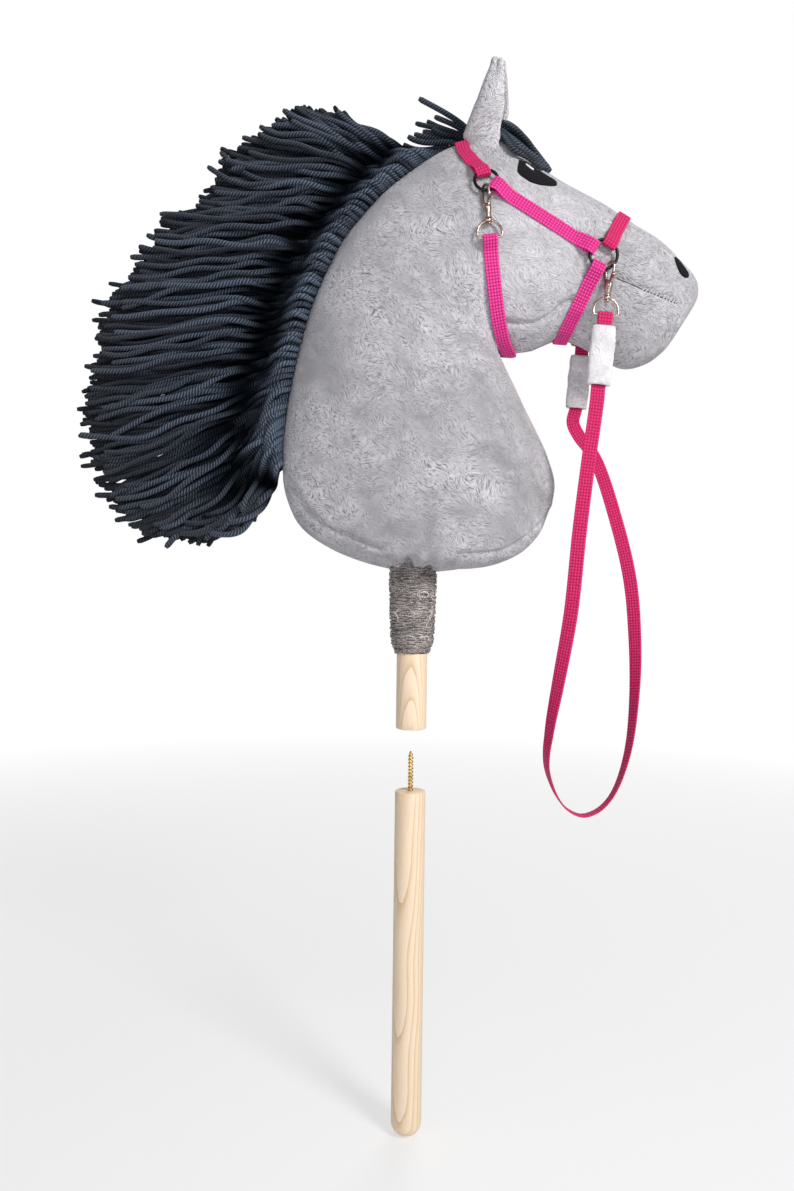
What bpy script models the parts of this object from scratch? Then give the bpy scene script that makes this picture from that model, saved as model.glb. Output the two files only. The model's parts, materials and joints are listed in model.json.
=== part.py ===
# Hobby horse on a two-piece stick: a stuffed plush head and neck with a yarn mane,
# a webbing halter with rings, and reins that clip on with swivel snap hooks.
# Metres, +Z up. The horse faces +X and its right side looks to -Y.
# The origin is the middle of the upper stick's lower end face.

import math

import bmesh
import bpy
import numpy as np
from mathutils import Matrix, Vector
from mathutils.bvhtree import BVHTree

# Stick
STICK_RADIUS = 0.014
UPPER_STICK_LENGTH = 0.400
LOWER_STICK_LENGTH = 0.315
STICK_GAP = 0.057
STICK_CHAMFER = 0.0015
DOME_HEIGHT = 0.012
STICK_STEPS = 28

# Screw that joins the two halves
SCREW_CREST_RADIUS = 0.00275
SCREW_CORE_RADIUS = 0.0019
SCREW_PITCH = 0.0032
SCREW_SHOWN = 0.038
SCREW_POINT = 0.006
SHANK_RADIUS = 0.0024
SHANK_LENGTH = 0.036
GLUE_WALL = 0.0018
SOCKET_CLEARANCE = 0.00045
SOCKET_SPARE_DEPTH = 0.002

# Gap that touching pieces keep
GAP = 0.0003

# Gathered cloth and twine under the neck
SLEEVE_TOP = 0.1475
SLEEVE_LENGTH = 0.070
SLEEVE_TOP_WALL = 0.0022
SLEEVE_LOW_WALL = 0.0008
TWINE_RADIUS = 0.0020
TWINE_LOOPS = 18
TWINE_PITCH = 0.00455
TWINE_POINTS = 24

# Plush skin and the forms of neck and head.
# Each station is a section: its back or upper point (x, z), its front or lower point (x, z),
# half its thickness, how far its sides sag, and how sharp its seam ridges are (1 is round).
PLUSH = 0.0025
SEAM_GAP = 0.0003
SIDE_STEPS = 8
BASE_Z = 0.1485
STATIONS = [
    ((-0.056, 0.156), (0.063, 0.149), 0.040, 0.002, 1.0),
    ((-0.084, 0.169), (0.094, 0.161), 0.049, 0.010, 1.0),
    ((-0.103, 0.185), (0.112, 0.178), 0.052, 0.020, 1.0),
    ((-0.114, 0.207), (0.123, 0.200), 0.055, 0.030, 1.0),
    ((-0.120, 0.233), (0.129, 0.227), 0.057, 0.027, 1.05),
    ((-0.121, 0.264), (0.123, 0.252), 0.057, 0.018, 1.1),
    ((-0.116, 0.304), (0.110, 0.277), 0.056, 0.009, 1.15),
    ((-0.107, 0.349), (0.097, 0.303), 0.054, 0.004, 1.2),
    ((-0.091, 0.402), (0.086, 0.325), 0.052, 0.0, 1.2),
    ((-0.067, 0.449), (0.078, 0.341), 0.051, 0.0, 1.2),
    ((-0.035, 0.487), (0.075, 0.347), 0.050, 0.0, 1.2),
    ((0.000, 0.517), (0.077, 0.349), 0.049, 0.0, 1.2),
    ((0.029, 0.535), (0.081, 0.348), 0.049, 0.0, 1.2),
    ((0.056, 0.543), (0.086, 0.347), 0.049, 0.0, 1.2),
    ((0.079, 0.540), (0.092, 0.346), 0.049, 0.0, 1.2),
    ((0.103, 0.524), (0.099, 0.347), 0.048, 0.0, 1.2),
    ((0.127, 0.508), (0.107, 0.349), 0.047, 0.0, 1.2),
    ((0.149, 0.496), (0.117, 0.354), 0.045, 0.0, 1.15),
    ((0.168, 0.486), (0.129, 0.359), 0.043, 0.0, 1.1),
    ((0.184, 0.477), (0.143, 0.358), 0.041, 0.0, 1.1),
    ((0.202, 0.466), (0.160, 0.350), 0.040, 0.0, 1.05),
    ((0.218, 0.456), (0.177, 0.340), 0.0395, 0.0, 1.0),
    ((0.231, 0.445), (0.195, 0.334), 0.0385, 0.0, 1.0),
    ((0.241, 0.433), (0.214, 0.339), 0.035, 0.0, 1.0),
    ((0.249, 0.423), (0.228, 0.350), 0.030, 0.0, 1.0),
    ((0.2545, 0.412), (0.239, 0.366), 0.022, 0.0, 1.0),
    ((0.256, 0.401), (0.247, 0.380), 0.012, 0.0, 1.0),
    ((0.2545, 0.394), (0.251, 0.387), 0.002, 0.0, 1.0),
]
GUSSET_STATION = 3
THROAT_STATION = 11
HEAD_SPLIT = 0.15
BASE_INSET = 0.12

# Ears
EAR_LENGTH = 0.078
EAR_RADII = (0.0105, 0.0145, 0.0152, 0.0142, 0.0122, 0.0096, 0.0066, 0.0035)
EAR_BOW = 0.005
EAR_WRAP = 115
EAR_THICKNESS = 0.0045
EAR_SEAT = 0.0024
EAR_TIP_DROP = 0.010
EAR_X = 0.0665
EAR_Y = 0.022
EAR_LEAN_FORWARD = 3
EAR_LEAN_OUT = 14

# Felt eyes and nostrils, as (x, z) outlines on the side of the head
FELT = 0.0012
FELT_LIFT = 0.0008
EYE = [
    (0.087, 0.506), (0.087, 0.497), (0.093, 0.488), (0.102, 0.483),
    (0.112, 0.482), (0.119, 0.485), (0.121, 0.489), (0.110, 0.496), (0.098, 0.503),
]
GLINT = [(0.094, 0.5005), (0.095, 0.4985), (0.102, 0.4950), (0.103, 0.4970)]
NOSTRIL = [
    (0.2285, 0.427), (0.2290, 0.420), (0.2325, 0.412), (0.2375, 0.410),
    (0.2410, 0.413), (0.2380, 0.419), (0.2330, 0.424),
]
MOUTH = [(0.172, 0.404), (0.185, 0.399), (0.200, 0.392), (0.214, 0.387), (0.226, 0.384)]
THREAD_RADIUS = 0.0006

# Mane: points (x, z) on its outer edge, one for each root on the crest
MANE_ROOTS = [
    ((0.018, 0.530), (-0.010, 0.574)),
    ((0.006, 0.521), (-0.112, 0.572)),
    ((-0.010, 0.510), (-0.180, 0.530)),
    ((-0.035, 0.489), (-0.204, 0.484)),
    ((-0.062, 0.457), (-0.248, 0.450)),
    ((-0.079, 0.428), (-0.268, 0.410)),
    ((-0.092, 0.402), (-0.290, 0.388)),
    ((-0.102, 0.370), (-0.290, 0.340)),
    ((-0.109, 0.339), (-0.298, 0.300)),
    ((-0.115, 0.305), (-0.296, 0.248)),
    ((-0.120, 0.276), (-0.272, 0.192)),
    ((-0.121, 0.258), (-0.204, 0.170)),
    ((-0.121, 0.242), (-0.158, 0.190)),
]
BAND_HALF_WIDTH = 0.008
BAND_THICKNESS = 0.0015
BAND_LIFT = 0.0012
MANE_STEPS = 22
MANE_HALF_ROOT = 0.013
MANE_HALF_MIDDLE = 0.021
MANE_HALF_FAR = 0.0147
MANE_HALF_EDGE = 0.007
MANE_MIDDLE = 0.45
MANE_FAR = 0.85
FORELOCK = [
    ((0.056, 0.545), (0.060, 0.562), 0.006),
    ((0.076, 0.543), (0.080, 0.562), 0.006),
    ((0.092, 0.533), (0.098, 0.549), 0.012),
    ((0.106, 0.524), (0.112, 0.533), 0.013),
    ((0.117, 0.517), (0.120, 0.519), 0.008),
]
FORELOCK_LIFT = 0.0022
FORELOCK_LEAST = 0.003

# Halter
WEBBING_WIDTH = 0.0125
WEBBING = 0.0014
STRAP_LIFT = 0.0010
FOLD_LENGTH = 0.009
FOLD_ROOM = 0.001
FOLD_TO_PATH = 0.006
STRAP_STEP = 0.0045
LIFT_STEP = 0.0002
THROAT_ROUTE = [(0.0655, 0.0440, 0.398), (0.0715, 0.0330, 0.370), (0.0790, 0.0170, 0.352), (0.0865, 0.0, 0.3455)]
UPPER_RING_RADIUS = 0.0102
LOWER_RING_RADIUS = 0.0124
RING_WIRE = 0.0013
RING_HEIGHT = 0.0046
UPPER_RING = (0.058, 0.480)
LOWER_RING = (0.160, 0.420)
CROWN_ANGLE = 109
NOSE_ANGLE = 61
CHIN_ANGLE = 246
THROAT_HOOK_ANGLE = 265
THROAT_HANG_ANGLE = 276
THROAT_BAR_HEIGHT = 0.0065
HUB_DROP = 0.035
REIN_HOOK_ANGLE = 300
REIN_LEAN = 5.0

# Snap hooks and their swivel rings
HOOK_WIRE = 0.0013
JAW_CLEARANCE = 0.0019
JAW_RADIUS = 0.0043
JAW_NOSE = 0.0055
HOOK_BODY_TOP = 0.0125
HOOK_BODY_LENGTH = 0.0125
HOOK_BODY_WIDTH = 0.0075
HOOK_BODY_DEPTH = 0.0046
POST_RADIUS = 0.0012
POST_HEAD_RADIUS = 0.0021
POST_HEAD_LENGTH = 0.0018
EYE_RADIUS = 0.0030
EYE_HEIGHT = 0.0032
GATE_WIDTH = 0.0024
GATE_PIVOT_DROP = 0.0040
GATE_RISE = 0.0004
GATE_BACK = 0.0009
GATE_EDGE = 0.0012
SLOT_LENGTH = 0.0093
SLOT_SHIFT = 0.0030
SLOT_HEIGHT = 0.0110
SLOT_DROP = 0.0035
THUMB_REACH = 0.0035
DEE_WIRE = 0.0011
DEE_WIDTH = 0.0213
DEE_HEIGHT = 0.0148
DEE_SHOULDER = 0.0035
DEE_CORNER = 0.0008
HOOK_TURN = 55

# Reins: a loop of webbing that hangs from both hooks.
# Each row is a point (x, y, z) and the angle of the webbing's width from the X axis.
REIN_STRAIGHT = (0.0, 0.02, 0.04, 0.06, 0.08)
REIN_ROUTE = [
    ((0.1500, -0.0440, 0.240), 0),
    ((0.1440, -0.0400, 0.180), 8),
    ((0.1390, -0.0330, 0.110), 22),
    ((0.1310, -0.0240, 0.050), 40),
    ((0.1245, -0.0140, 0.000), 62),
    ((0.1245, -0.0060, -0.035), 78),
    ((0.1400, -0.0010, -0.068), 90),
    ((0.1620, 0.0000, -0.078), 90),
    ((0.1850, 0.0010, -0.061), 90),
    ((0.2010, 0.0060, -0.022), 78),
    ((0.2090, 0.0140, 0.028), 62),
    ((0.2120, 0.0240, 0.080), 40),
    ((0.2090, 0.0330, 0.140), 22),
    ((0.1960, 0.0400, 0.200), 8),
    ((0.1780, 0.0440, 0.255), 0),
]
REIN_STEPS = 64
REIN_DOUBLED = 0.046
REIN_FREE = 0.008
REIN_CLOSE = 0.012
SLEEVE_COVER_START = 0.010
SLEEVE_COVER_LENGTH = 0.051
SLEEVE_COVER_WIDTH = 0.0205
SLEEVE_COVER_DEPTH = 0.0085
SLEEVE_COVER_ROOM = 0.0006

COLOURS = {
    "pine": ((0.80, 0.62, 0.40), 0.55, 0.0),
    "screw_brass": ((0.72, 0.53, 0.22), 0.35, 1.0),
    "glue": ((0.75, 0.66, 0.45), 0.5, 0.0),
    "plush": ((0.60, 0.61, 0.64), 0.95, 0.0),
    "stuffing": ((0.90, 0.90, 0.88), 1.0, 0.0),
    "twine": ((0.20, 0.19, 0.18), 0.9, 0.0),
    "yarn": ((0.045, 0.075, 0.115), 0.9, 0.0),
    "felt_black": ((0.012, 0.012, 0.014), 0.95, 0.0),
    "felt_white": ((0.85, 0.85, 0.85), 0.9, 0.0),
    "thread": ((0.42, 0.43, 0.46), 0.8, 0.0),
    "webbing": ((0.80, 0.03, 0.20), 0.7, 0.0),
    "ring_black": ((0.02, 0.02, 0.02), 0.35, 0.8),
    "snap_nickel": ((0.75, 0.66, 0.58), 0.25, 1.0),
    "sleeve_white": ((0.88, 0.88, 0.90), 0.95, 0.0),
}


# Scene, materials and collections

def clear_scene():
    for obj in list(bpy.data.objects):
        bpy.data.objects.remove(obj, do_unlink=True)


def make_collection(name):
    collection = bpy.data.collections.new(name)
    bpy.context.scene.collection.children.link(collection)
    return collection


def make_material(name):
    colour, roughness, metallic = COLOURS[name]
    material = bpy.data.materials.new(name)
    material.use_nodes = True
    shader = material.node_tree.nodes["Principled BSDF"]
    shader.inputs["Base Color"].default_value = (*colour, 1.0)
    shader.inputs["Roughness"].default_value = roughness
    shader.inputs["Metallic"].default_value = metallic
    material.diffuse_color = (*colour, 1.0)
    return material


clear_scene()
PARTS = make_collection("hobby_horse")
CUTTERS = make_collection("cutters")
MATERIALS = {name: make_material(name) for name in COLOURS}


def add_object(name, mesh, material, matrix=None):
    obj = bpy.data.objects.new(name, mesh)
    PARTS.objects.link(obj)
    if not mesh.materials:
        mesh.materials.append(MATERIALS[material])
    if matrix is not None:
        obj.matrix_world = matrix
    mesh.shade_smooth()
    mesh.set_sharp_from_angle(angle=math.radians(40))
    return obj


def as_cutter(obj):
    for collection in list(obj.users_collection):
        collection.objects.unlink(obj)
    CUTTERS.objects.link(obj)
    obj.hide_render = True
    obj.display_type = "WIRE"
    return obj


def add_boolean(obj, other, operation):
    modifier = obj.modifiers.new(operation.lower(), "BOOLEAN")
    modifier.operation = operation
    modifier.object = as_cutter(other)
    return modifier


def mesh_of(obj, weld=1e-6):
    """The object's evaluated mesh, with its doubles merged and its faces turned out."""
    graph = bpy.context.evaluated_depsgraph_get()
    mesh = bpy.data.meshes.new_from_object(obj.evaluated_get(graph))
    work = bmesh.new()
    work.from_mesh(mesh)
    bmesh.ops.remove_doubles(work, verts=work.verts, dist=weld)
    bmesh.ops.recalc_face_normals(work, faces=work.faces)
    work.to_mesh(mesh)
    work.free()
    return mesh


def mesh_from(name, points, faces):
    mesh = bpy.data.meshes.new(name)
    mesh.from_pydata([tuple(point) for point in points], [], faces)
    work = bmesh.new()
    work.from_mesh(mesh)
    bmesh.ops.recalc_face_normals(work, faces=work.faces)
    work.to_mesh(mesh)
    work.free()
    return mesh


# Turned pieces, tubes and ribbons

def turned(name, profile, material, steps=STICK_STEPS, closed=False):
    """A profile of (radius, height) turned about Z. Its outer side runs from top to bottom."""
    mesh = bpy.data.meshes.new(name)
    edges = [(i, i + 1) for i in range(len(profile) - 1)]
    if closed:
        edges.append((len(profile) - 1, 0))
    mesh.from_pydata([(radius, 0.0, height) for radius, height in profile], edges, [])
    obj = bpy.data.objects.new(name, mesh)
    PARTS.objects.link(obj)
    screw = obj.modifiers.new("turn", "SCREW")
    screw.steps = screw.render_steps = steps
    screw.use_merge_vertices = True
    screw.merge_threshold = 1e-6
    screw.use_smooth_shade = True
    mesh.materials.append(MATERIALS[material])
    return obj


def tube(name, points, radius, resolution=1, cyclic=False):
    """A mesh tube along points, from a curve with a bevel and filled caps."""
    curve = bpy.data.curves.new(name, "CURVE")
    curve.dimensions = "3D"
    curve.bevel_depth = radius
    curve.bevel_resolution = resolution
    curve.use_fill_caps = True
    spline = curve.splines.new("POLY")
    spline.points.add(len(points) - 1)
    for item, point in zip(spline.points, points):
        item.co = (*point, 1.0)
    spline.use_cyclic_u = cyclic
    obj = bpy.data.objects.new(name + "_curve", curve)
    PARTS.objects.link(obj)
    bpy.context.view_layer.update()
    mesh = mesh_of(obj)
    bpy.data.objects.remove(obj, do_unlink=True)
    return mesh


def unit(vector):
    return vector / np.linalg.norm(vector)


def ribbon(name, points, widths, width, thickness):
    """A strip of webbing along points, whose width runs along the given directions."""
    points = np.array(points, float)
    corners = []
    for i, point in enumerate(points):
        before = points[max(i - 1, 0)]
        after = points[min(i + 1, len(points) - 1)]
        tangent = unit(after - before)
        across = np.array(widths[i], float)
        across = unit(across - tangent * np.dot(across, tangent))
        up = np.cross(across, tangent)
        for side, lift in ((-1, -1), (1, -1), (1, 1), (-1, 1)):
            corners.append(point + across * side * width / 2 + up * lift * thickness / 2)
    last = len(points) - 1
    faces = [(3, 2, 1, 0), tuple(4 * last + k for k in range(4))]
    for i in range(last):
        for k in range(4):
            a, b = 4 * i + k, 4 * i + (k + 1) % 4
            faces.append((a, b, b + 4, a + 4))
    return mesh_from(name, corners, faces)


def smooth_curve(points, steps):
    """Evenly spaced points on a Catmull-Rom curve through the given rows of numbers."""
    rows = np.array(points, float)
    ends = np.vstack([2 * rows[0] - rows[1], rows, 2 * rows[-1] - rows[-2]])
    dense = []
    for i in range(1, len(ends) - 2):
        p0, p1, p2, p3 = ends[i - 1:i + 3]
        for t in np.linspace(0, 1, 12, endpoint=False):
            dense.append(0.5 * (2 * p1 + (p2 - p0) * t + (2 * p0 - 5 * p1 + 4 * p2 - p3) * t ** 2
                                + (3 * p1 - p0 - 3 * p2 + p3) * t ** 3))
    dense.append(rows[-1])
    dense = np.array(dense)
    lengths = np.r_[0, np.cumsum(np.linalg.norm(np.diff(dense[:, :3], axis=0), axis=1))]
    wanted = np.linspace(0, lengths[-1], steps)
    return np.column_stack([np.interp(wanted, lengths, column) for column in dense.T])


# Stick and screw

def build_sticks():
    edge = STICK_CHAMFER
    socket = SCREW_CREST_RADIUS + SOCKET_CLEARANCE
    depth = SCREW_SHOWN + SOCKET_SPARE_DEPTH
    top = UPPER_STICK_LENGTH
    turned("upper_stick", [
        (0, top), (STICK_RADIUS - edge, top), (STICK_RADIUS, top - edge),
        (STICK_RADIUS, edge), (STICK_RADIUS - edge, 0), (socket, 0), (socket, depth), (0, depth),
    ], "pine")

    head = -STICK_GAP
    foot = head - LOWER_STICK_LENGTH
    glue_outer = SHANK_RADIUS + GAP + GLUE_WALL
    bore = glue_outer + GAP
    bore_end = head - SHANK_LENGTH - GAP
    dome = []
    for i in range(1, 6):
        angle = math.radians(90 * i / 6)
        dome.append((STICK_RADIUS * math.cos(angle), foot + DOME_HEIGHT * (1 - math.sin(angle))))
    turned("lower_stick", [
        (0, bore_end), (bore, bore_end), (bore, head), (STICK_RADIUS - edge, head),
        (STICK_RADIUS, head - edge), (STICK_RADIUS, foot + DOME_HEIGHT), *dome, (0, foot),
    ], "pine")

    turned("screw_glue", [
        (glue_outer, head - GAP), (glue_outer, head - SHANK_LENGTH),
        (SHANK_RADIUS + GAP, head - SHANK_LENGTH), (SHANK_RADIUS + GAP, head - GAP),
    ], "glue", steps=16, closed=True)
    build_screw(head)


def build_screw(head):
    tip = head + SCREW_SHOWN
    core_end = tip - SCREW_POINT
    screw = turned("stick_screw", [
        (0, tip), (SCREW_CORE_RADIUS, core_end), (SCREW_CORE_RADIUS, head + SCREW_PITCH / 2),
        (SHANK_RADIUS, head), (SHANK_RADIUS, head - SHANK_LENGTH), (0, head - SHANK_LENGTH),
    ], "screw_brass", steps=12)
    points = []
    per_turn = 8
    start = head + SCREW_PITCH
    turns = (core_end - start) / SCREW_PITCH
    for i in range(int(turns * per_turn) + 1):
        angle = 2 * math.pi * i / per_turn
        height = start + SCREW_PITCH * i / per_turn
        points.append((SCREW_CORE_RADIUS * math.cos(angle), SCREW_CORE_RADIUS * math.sin(angle), height))
    thread_mesh = tube("thread", points, SCREW_CREST_RADIUS - SCREW_CORE_RADIUS, resolution=0)
    thread = bpy.data.objects.new("thread", thread_mesh)
    add_boolean(screw, thread, "UNION")


# Plush head and neck

def section(station, side_steps=SIDE_STEPS):
    """The right-hand half of a station, from its back point to its front point."""
    (top_x, top_z), (low_x, low_z), half, sag, ridge = station
    points = []
    for j in range(side_steps + 1):
        angle = math.pi * j / side_steps
        along = (1 - math.cos(angle)) / 2
        side = abs(math.sin(angle))
        points.append((
            top_x + (low_x - top_x) * along,
            -half * side ** ridge if 0 < j < side_steps else 0.0,
            top_z + (low_z - top_z) * along - sag * side,
        ))
    return points


def offset_rows(rows, distance):
    """The same grid moved inwards by a distance along its own normals."""
    mirror = np.array([1.0, -1.0, 1.0])
    moved = np.empty_like(rows)
    count, columns = rows.shape[:2]
    for i in range(count):
        before, after = rows[max(i - 1, 0)], rows[min(i + 1, count - 1)]
        for j in range(columns):
            left = rows[i, j - 1] if j > 0 else rows[i, 1] * mirror
            right = rows[i, j + 1] if j < columns - 1 else rows[i, columns - 2] * mirror
            normal = np.cross(right - left, after[j] - before[j])
            moved[i, j] = rows[i, j] - unit(normal) * distance
    return moved


def blend_row(rows, index, share):
    return rows[index] * (1 - share) + rows[index + 1] * share


def full_ring(row):
    """A half section and its mirror image, as one closed ring."""
    mirrored = row[1:-1][::-1] * np.array([1.0, -1.0, 1.0])
    return np.vstack([row, mirrored])


def ring_faces(count, size):
    """Triangles between rings, whose diagonals are mirrored on the second half of each ring."""
    faces = []
    for i in range(count - 1):
        for k in range(size):
            a, b = i * size + k, i * size + (k + 1) % size
            if k < size // 2:
                faces += [(a, b, b + size), (a, b + size, a + size)]
            else:
                faces += [(a, b, a + size), (b, b + size, a + size)]
    return faces


def loft(name, rings, cap_start=True, cap_end=True):
    """A closed solid through rings with equal numbers of points."""
    size = len(rings[0])
    faces = ring_faces(len(rings), size)
    if cap_start:
        faces.append(tuple(range(size)))
    if cap_end:
        faces.append(tuple((len(rings) - 1) * size + k for k in range(size)))
    return mesh_from(name, np.vstack(rings), faces)


def ring_shell(name, outer, inner):
    """A wall between two stacks of rings, open through the middle."""
    size = len(outer[0])
    second = size * len(outer)
    wall = ring_faces(len(outer), size)
    faces = wall + [tuple(corner + second for corner in face) for face in wall]
    for first in (0, second - size):
        for k in range(size):
            a, b = first + k, first + (k + 1) % size
            if k < size // 2:
                faces += [(a, b, b + second), (a, b + second, a + second)]
            else:
                faces += [(a, b, a + second), (b, b + second, a + second)]
    return mesh_from(name, np.vstack([*outer, *inner]), faces)


def side_panel(name, outer, inner, inner_end):
    """One half of the skin: a wall that is open at the bottom and closed round the nose."""
    columns = outer.shape[1]
    half_gap = np.array([0, SEAM_GAP / 2, 0])
    outer, inner = outer - half_gap, inner[:inner_end + 1] - half_gap
    points = np.vstack([outer.reshape(-1, 3), inner.reshape(-1, 3)])
    first_inner = outer.shape[0] * columns
    last = outer.shape[0] - 1

    def out(i, j):
        return i * columns + j

    def inn(i, j):
        return first_inner + i * columns + j

    faces = []
    for grid, rows in ((out, last), (inn, inner_end)):
        for i in range(rows):
            for j in range(columns - 1):
                faces.append((grid(i, j), grid(i, j + 1), grid(i + 1, j + 1)))
                faces.append((grid(i, j), grid(i + 1, j + 1), grid(i + 1, j)))
    for j in (0, columns - 1):
        for i in range(inner_end):
            faces.append((out(i, j), out(i + 1, j), inn(i + 1, j), inn(i, j)))
    for j in range(columns - 1):
        faces.append((out(0, j), out(0, j + 1), inn(0, j + 1)))
        faces.append((out(0, j), inn(0, j + 1), inn(0, j)))
    faces.append(tuple(out(last, j) for j in range(columns)))
    faces.append(tuple(inn(inner_end, j) for j in range(columns)))
    top = [out(i, 0) for i in range(inner_end, last + 1)]
    low = [out(i, columns - 1) for i in range(last, inner_end - 1, -1)]
    faces.append(tuple(top + low + [inn(inner_end, columns - 1), inn(inner_end, 0)]))
    return mesh_from(name, points, faces)


def hole_station():
    reach = STICK_RADIUS + GAP + SLEEVE_TOP_WALL + GAP
    return ((-reach, BASE_Z), (reach, BASE_Z), reach, 0.0, 1.0)


# Rows of the outer skin: row 0 is the edge round the stick, row i + 1 is station i
ROWS = np.array([section(station) for station in [hole_station()] + STATIONS])
SEAM_ROW = GUSSET_STATION + 1
THROAT_ROW = THROAT_STATION + 1
LAST_ROW = len(ROWS) - 1
TIP_CLOSE = 3


def skin_bvh(rows):
    rings = [full_ring(row) for row in rows]
    size = len(rings[0])
    points = np.vstack(rings)
    return BVHTree.FromPolygons([Vector(point) for point in points], ring_faces(len(rings), size))


SKIN = skin_bvh(ROWS)


def build_plush():
    inner = offset_rows(ROWS, PLUSH)
    stuffed = offset_rows(ROWS, PLUSH + GAP)
    edge_share = 1 - SEAM_GAP / np.linalg.norm(ROWS[SEAM_ROW][0] - ROWS[SEAM_ROW - 1][0])
    outer_rings = [full_ring(row) for row in ROWS[:SEAM_ROW]]
    inner_rings = [full_ring(row) for row in inner[:SEAM_ROW]]
    outer_rings.append(full_ring(blend_row(ROWS, SEAM_ROW - 1, edge_share)))
    inner_rings.append(full_ring(blend_row(inner, SEAM_ROW - 1, edge_share)))
    add_object("base_gusset", ring_shell("base_gusset", outer_rings, inner_rings), "plush")

    inner_end = LAST_ROW - SEAM_ROW - TIP_CLOSE
    panel = side_panel("side_panel_right", ROWS[SEAM_ROW:], inner[SEAM_ROW:], inner_end)
    add_object("side_panel_right", panel, "plush")
    add_object("side_panel_left", mirrored_mesh(panel, "side_panel_left"), "plush")

    neck_rows = [blend_row(stuffed, 1, BASE_INSET), *stuffed[2:THROAT_ROW + 1]]
    neck = [full_ring(row) for row in neck_rows]
    neck_obj = add_object("neck_stuffing", loft("neck_stuffing", neck), "stuffing")
    bore = STICK_RADIUS + GAP
    hole = turned("stick_hole", [
        (0, UPPER_STICK_LENGTH + GAP), (bore, UPPER_STICK_LENGTH + GAP), (bore, 0.05), (0, 0.05),
    ], "stuffing")
    add_boolean(neck_obj, hole, "DIFFERENCE")
    head_rows = [blend_row(stuffed, THROAT_ROW, HEAD_SPLIT)]
    head_rows += list(stuffed[THROAT_ROW + 1:LAST_ROW - TIP_CLOSE])
    add_object("head_stuffing", loft("head_stuffing", [full_ring(row) for row in head_rows]), "stuffing")


def mirrored_mesh(mesh, name):
    copy = mesh.copy()
    copy.name = name
    copy.transform(Matrix.Scale(-1, 4, (0, 1, 0)))
    copy.flip_normals()
    return copy


def surface(x, z, side=-1):
    """The point and normal where the skin is met at (x, z), seen from the right or the left."""
    hit, normal, _, _ = SKIN.ray_cast(Vector((x, side * 0.5, z)), Vector((0, -side, 0)))
    normal = np.array(normal)
    if normal[1] * side < 0:
        normal = -normal
    return np.array(hit), normal


def smooth_normals(normals, passes=3):
    normals = np.array(normals)
    for _ in range(passes):
        padded = np.vstack([normals[:1], normals, normals[-1:]])
        normals = padded[:-2] + 2 * padded[1:-1] + padded[2:]
        normals /= np.linalg.norm(normals, axis=1)[:, None]
    return normals


# Neck sleeve and twine

def build_binding():
    inner = STICK_RADIUS + GAP
    top_outer = inner + SLEEVE_TOP_WALL
    low_outer = inner + SLEEVE_LOW_WALL
    low = SLEEVE_TOP - SLEEVE_LENGTH
    turned("neck_sleeve", [
        (top_outer, SLEEVE_TOP), (top_outer, SLEEVE_TOP - SLEEVE_LENGTH * 0.4),
        (low_outer, low), (inner, low), (inner, SLEEVE_TOP),
    ], "plush", closed=True)

    top = SLEEVE_TOP - GAP - TWINE_RADIUS
    points = []
    for i in range(TWINE_LOOPS * TWINE_POINTS + 1):
        angle = 2 * math.pi * i / TWINE_POINTS
        height = top - TWINE_PITCH * i / TWINE_POINTS
        share = min(1.0, max(0.0, (height + TWINE_RADIUS - low) / (SLEEVE_LENGTH * 0.6)))
        under = low_outer + (top_outer - low_outer) * share
        if height + TWINE_RADIUS < low:
            under = STICK_RADIUS
        radius = (under + 2 * GAP) / math.cos(math.pi / TWINE_POINTS) + TWINE_RADIUS
        points.append((radius * math.cos(angle), radius * math.sin(angle), height))
    print("least gap between twine turns, mm:", round(1000 * least_gap(points), 2))
    run = 2 * TWINE_RADIUS
    first, last = np.array(points[0]), np.array(points[-1])
    points.insert(0, first + np.array([0, -run, 0]))
    points.append(last + np.array([0, run, 0]))
    add_object("neck_binding", tube("neck_binding", points, TWINE_RADIUS), "twine")


def least_gap(points):
    """The least clear space between turns that are not next to each other along the tube."""
    points = np.array(points)
    least = math.inf
    for i in range(len(points)):
        others = points[i + TWINE_POINTS // 2:]
        if len(others):
            least = min(least, np.linalg.norm(others - points[i], axis=1).min())
    return least - 2 * TWINE_RADIUS


# Ears, eyes, nostrils and mouth

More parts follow.
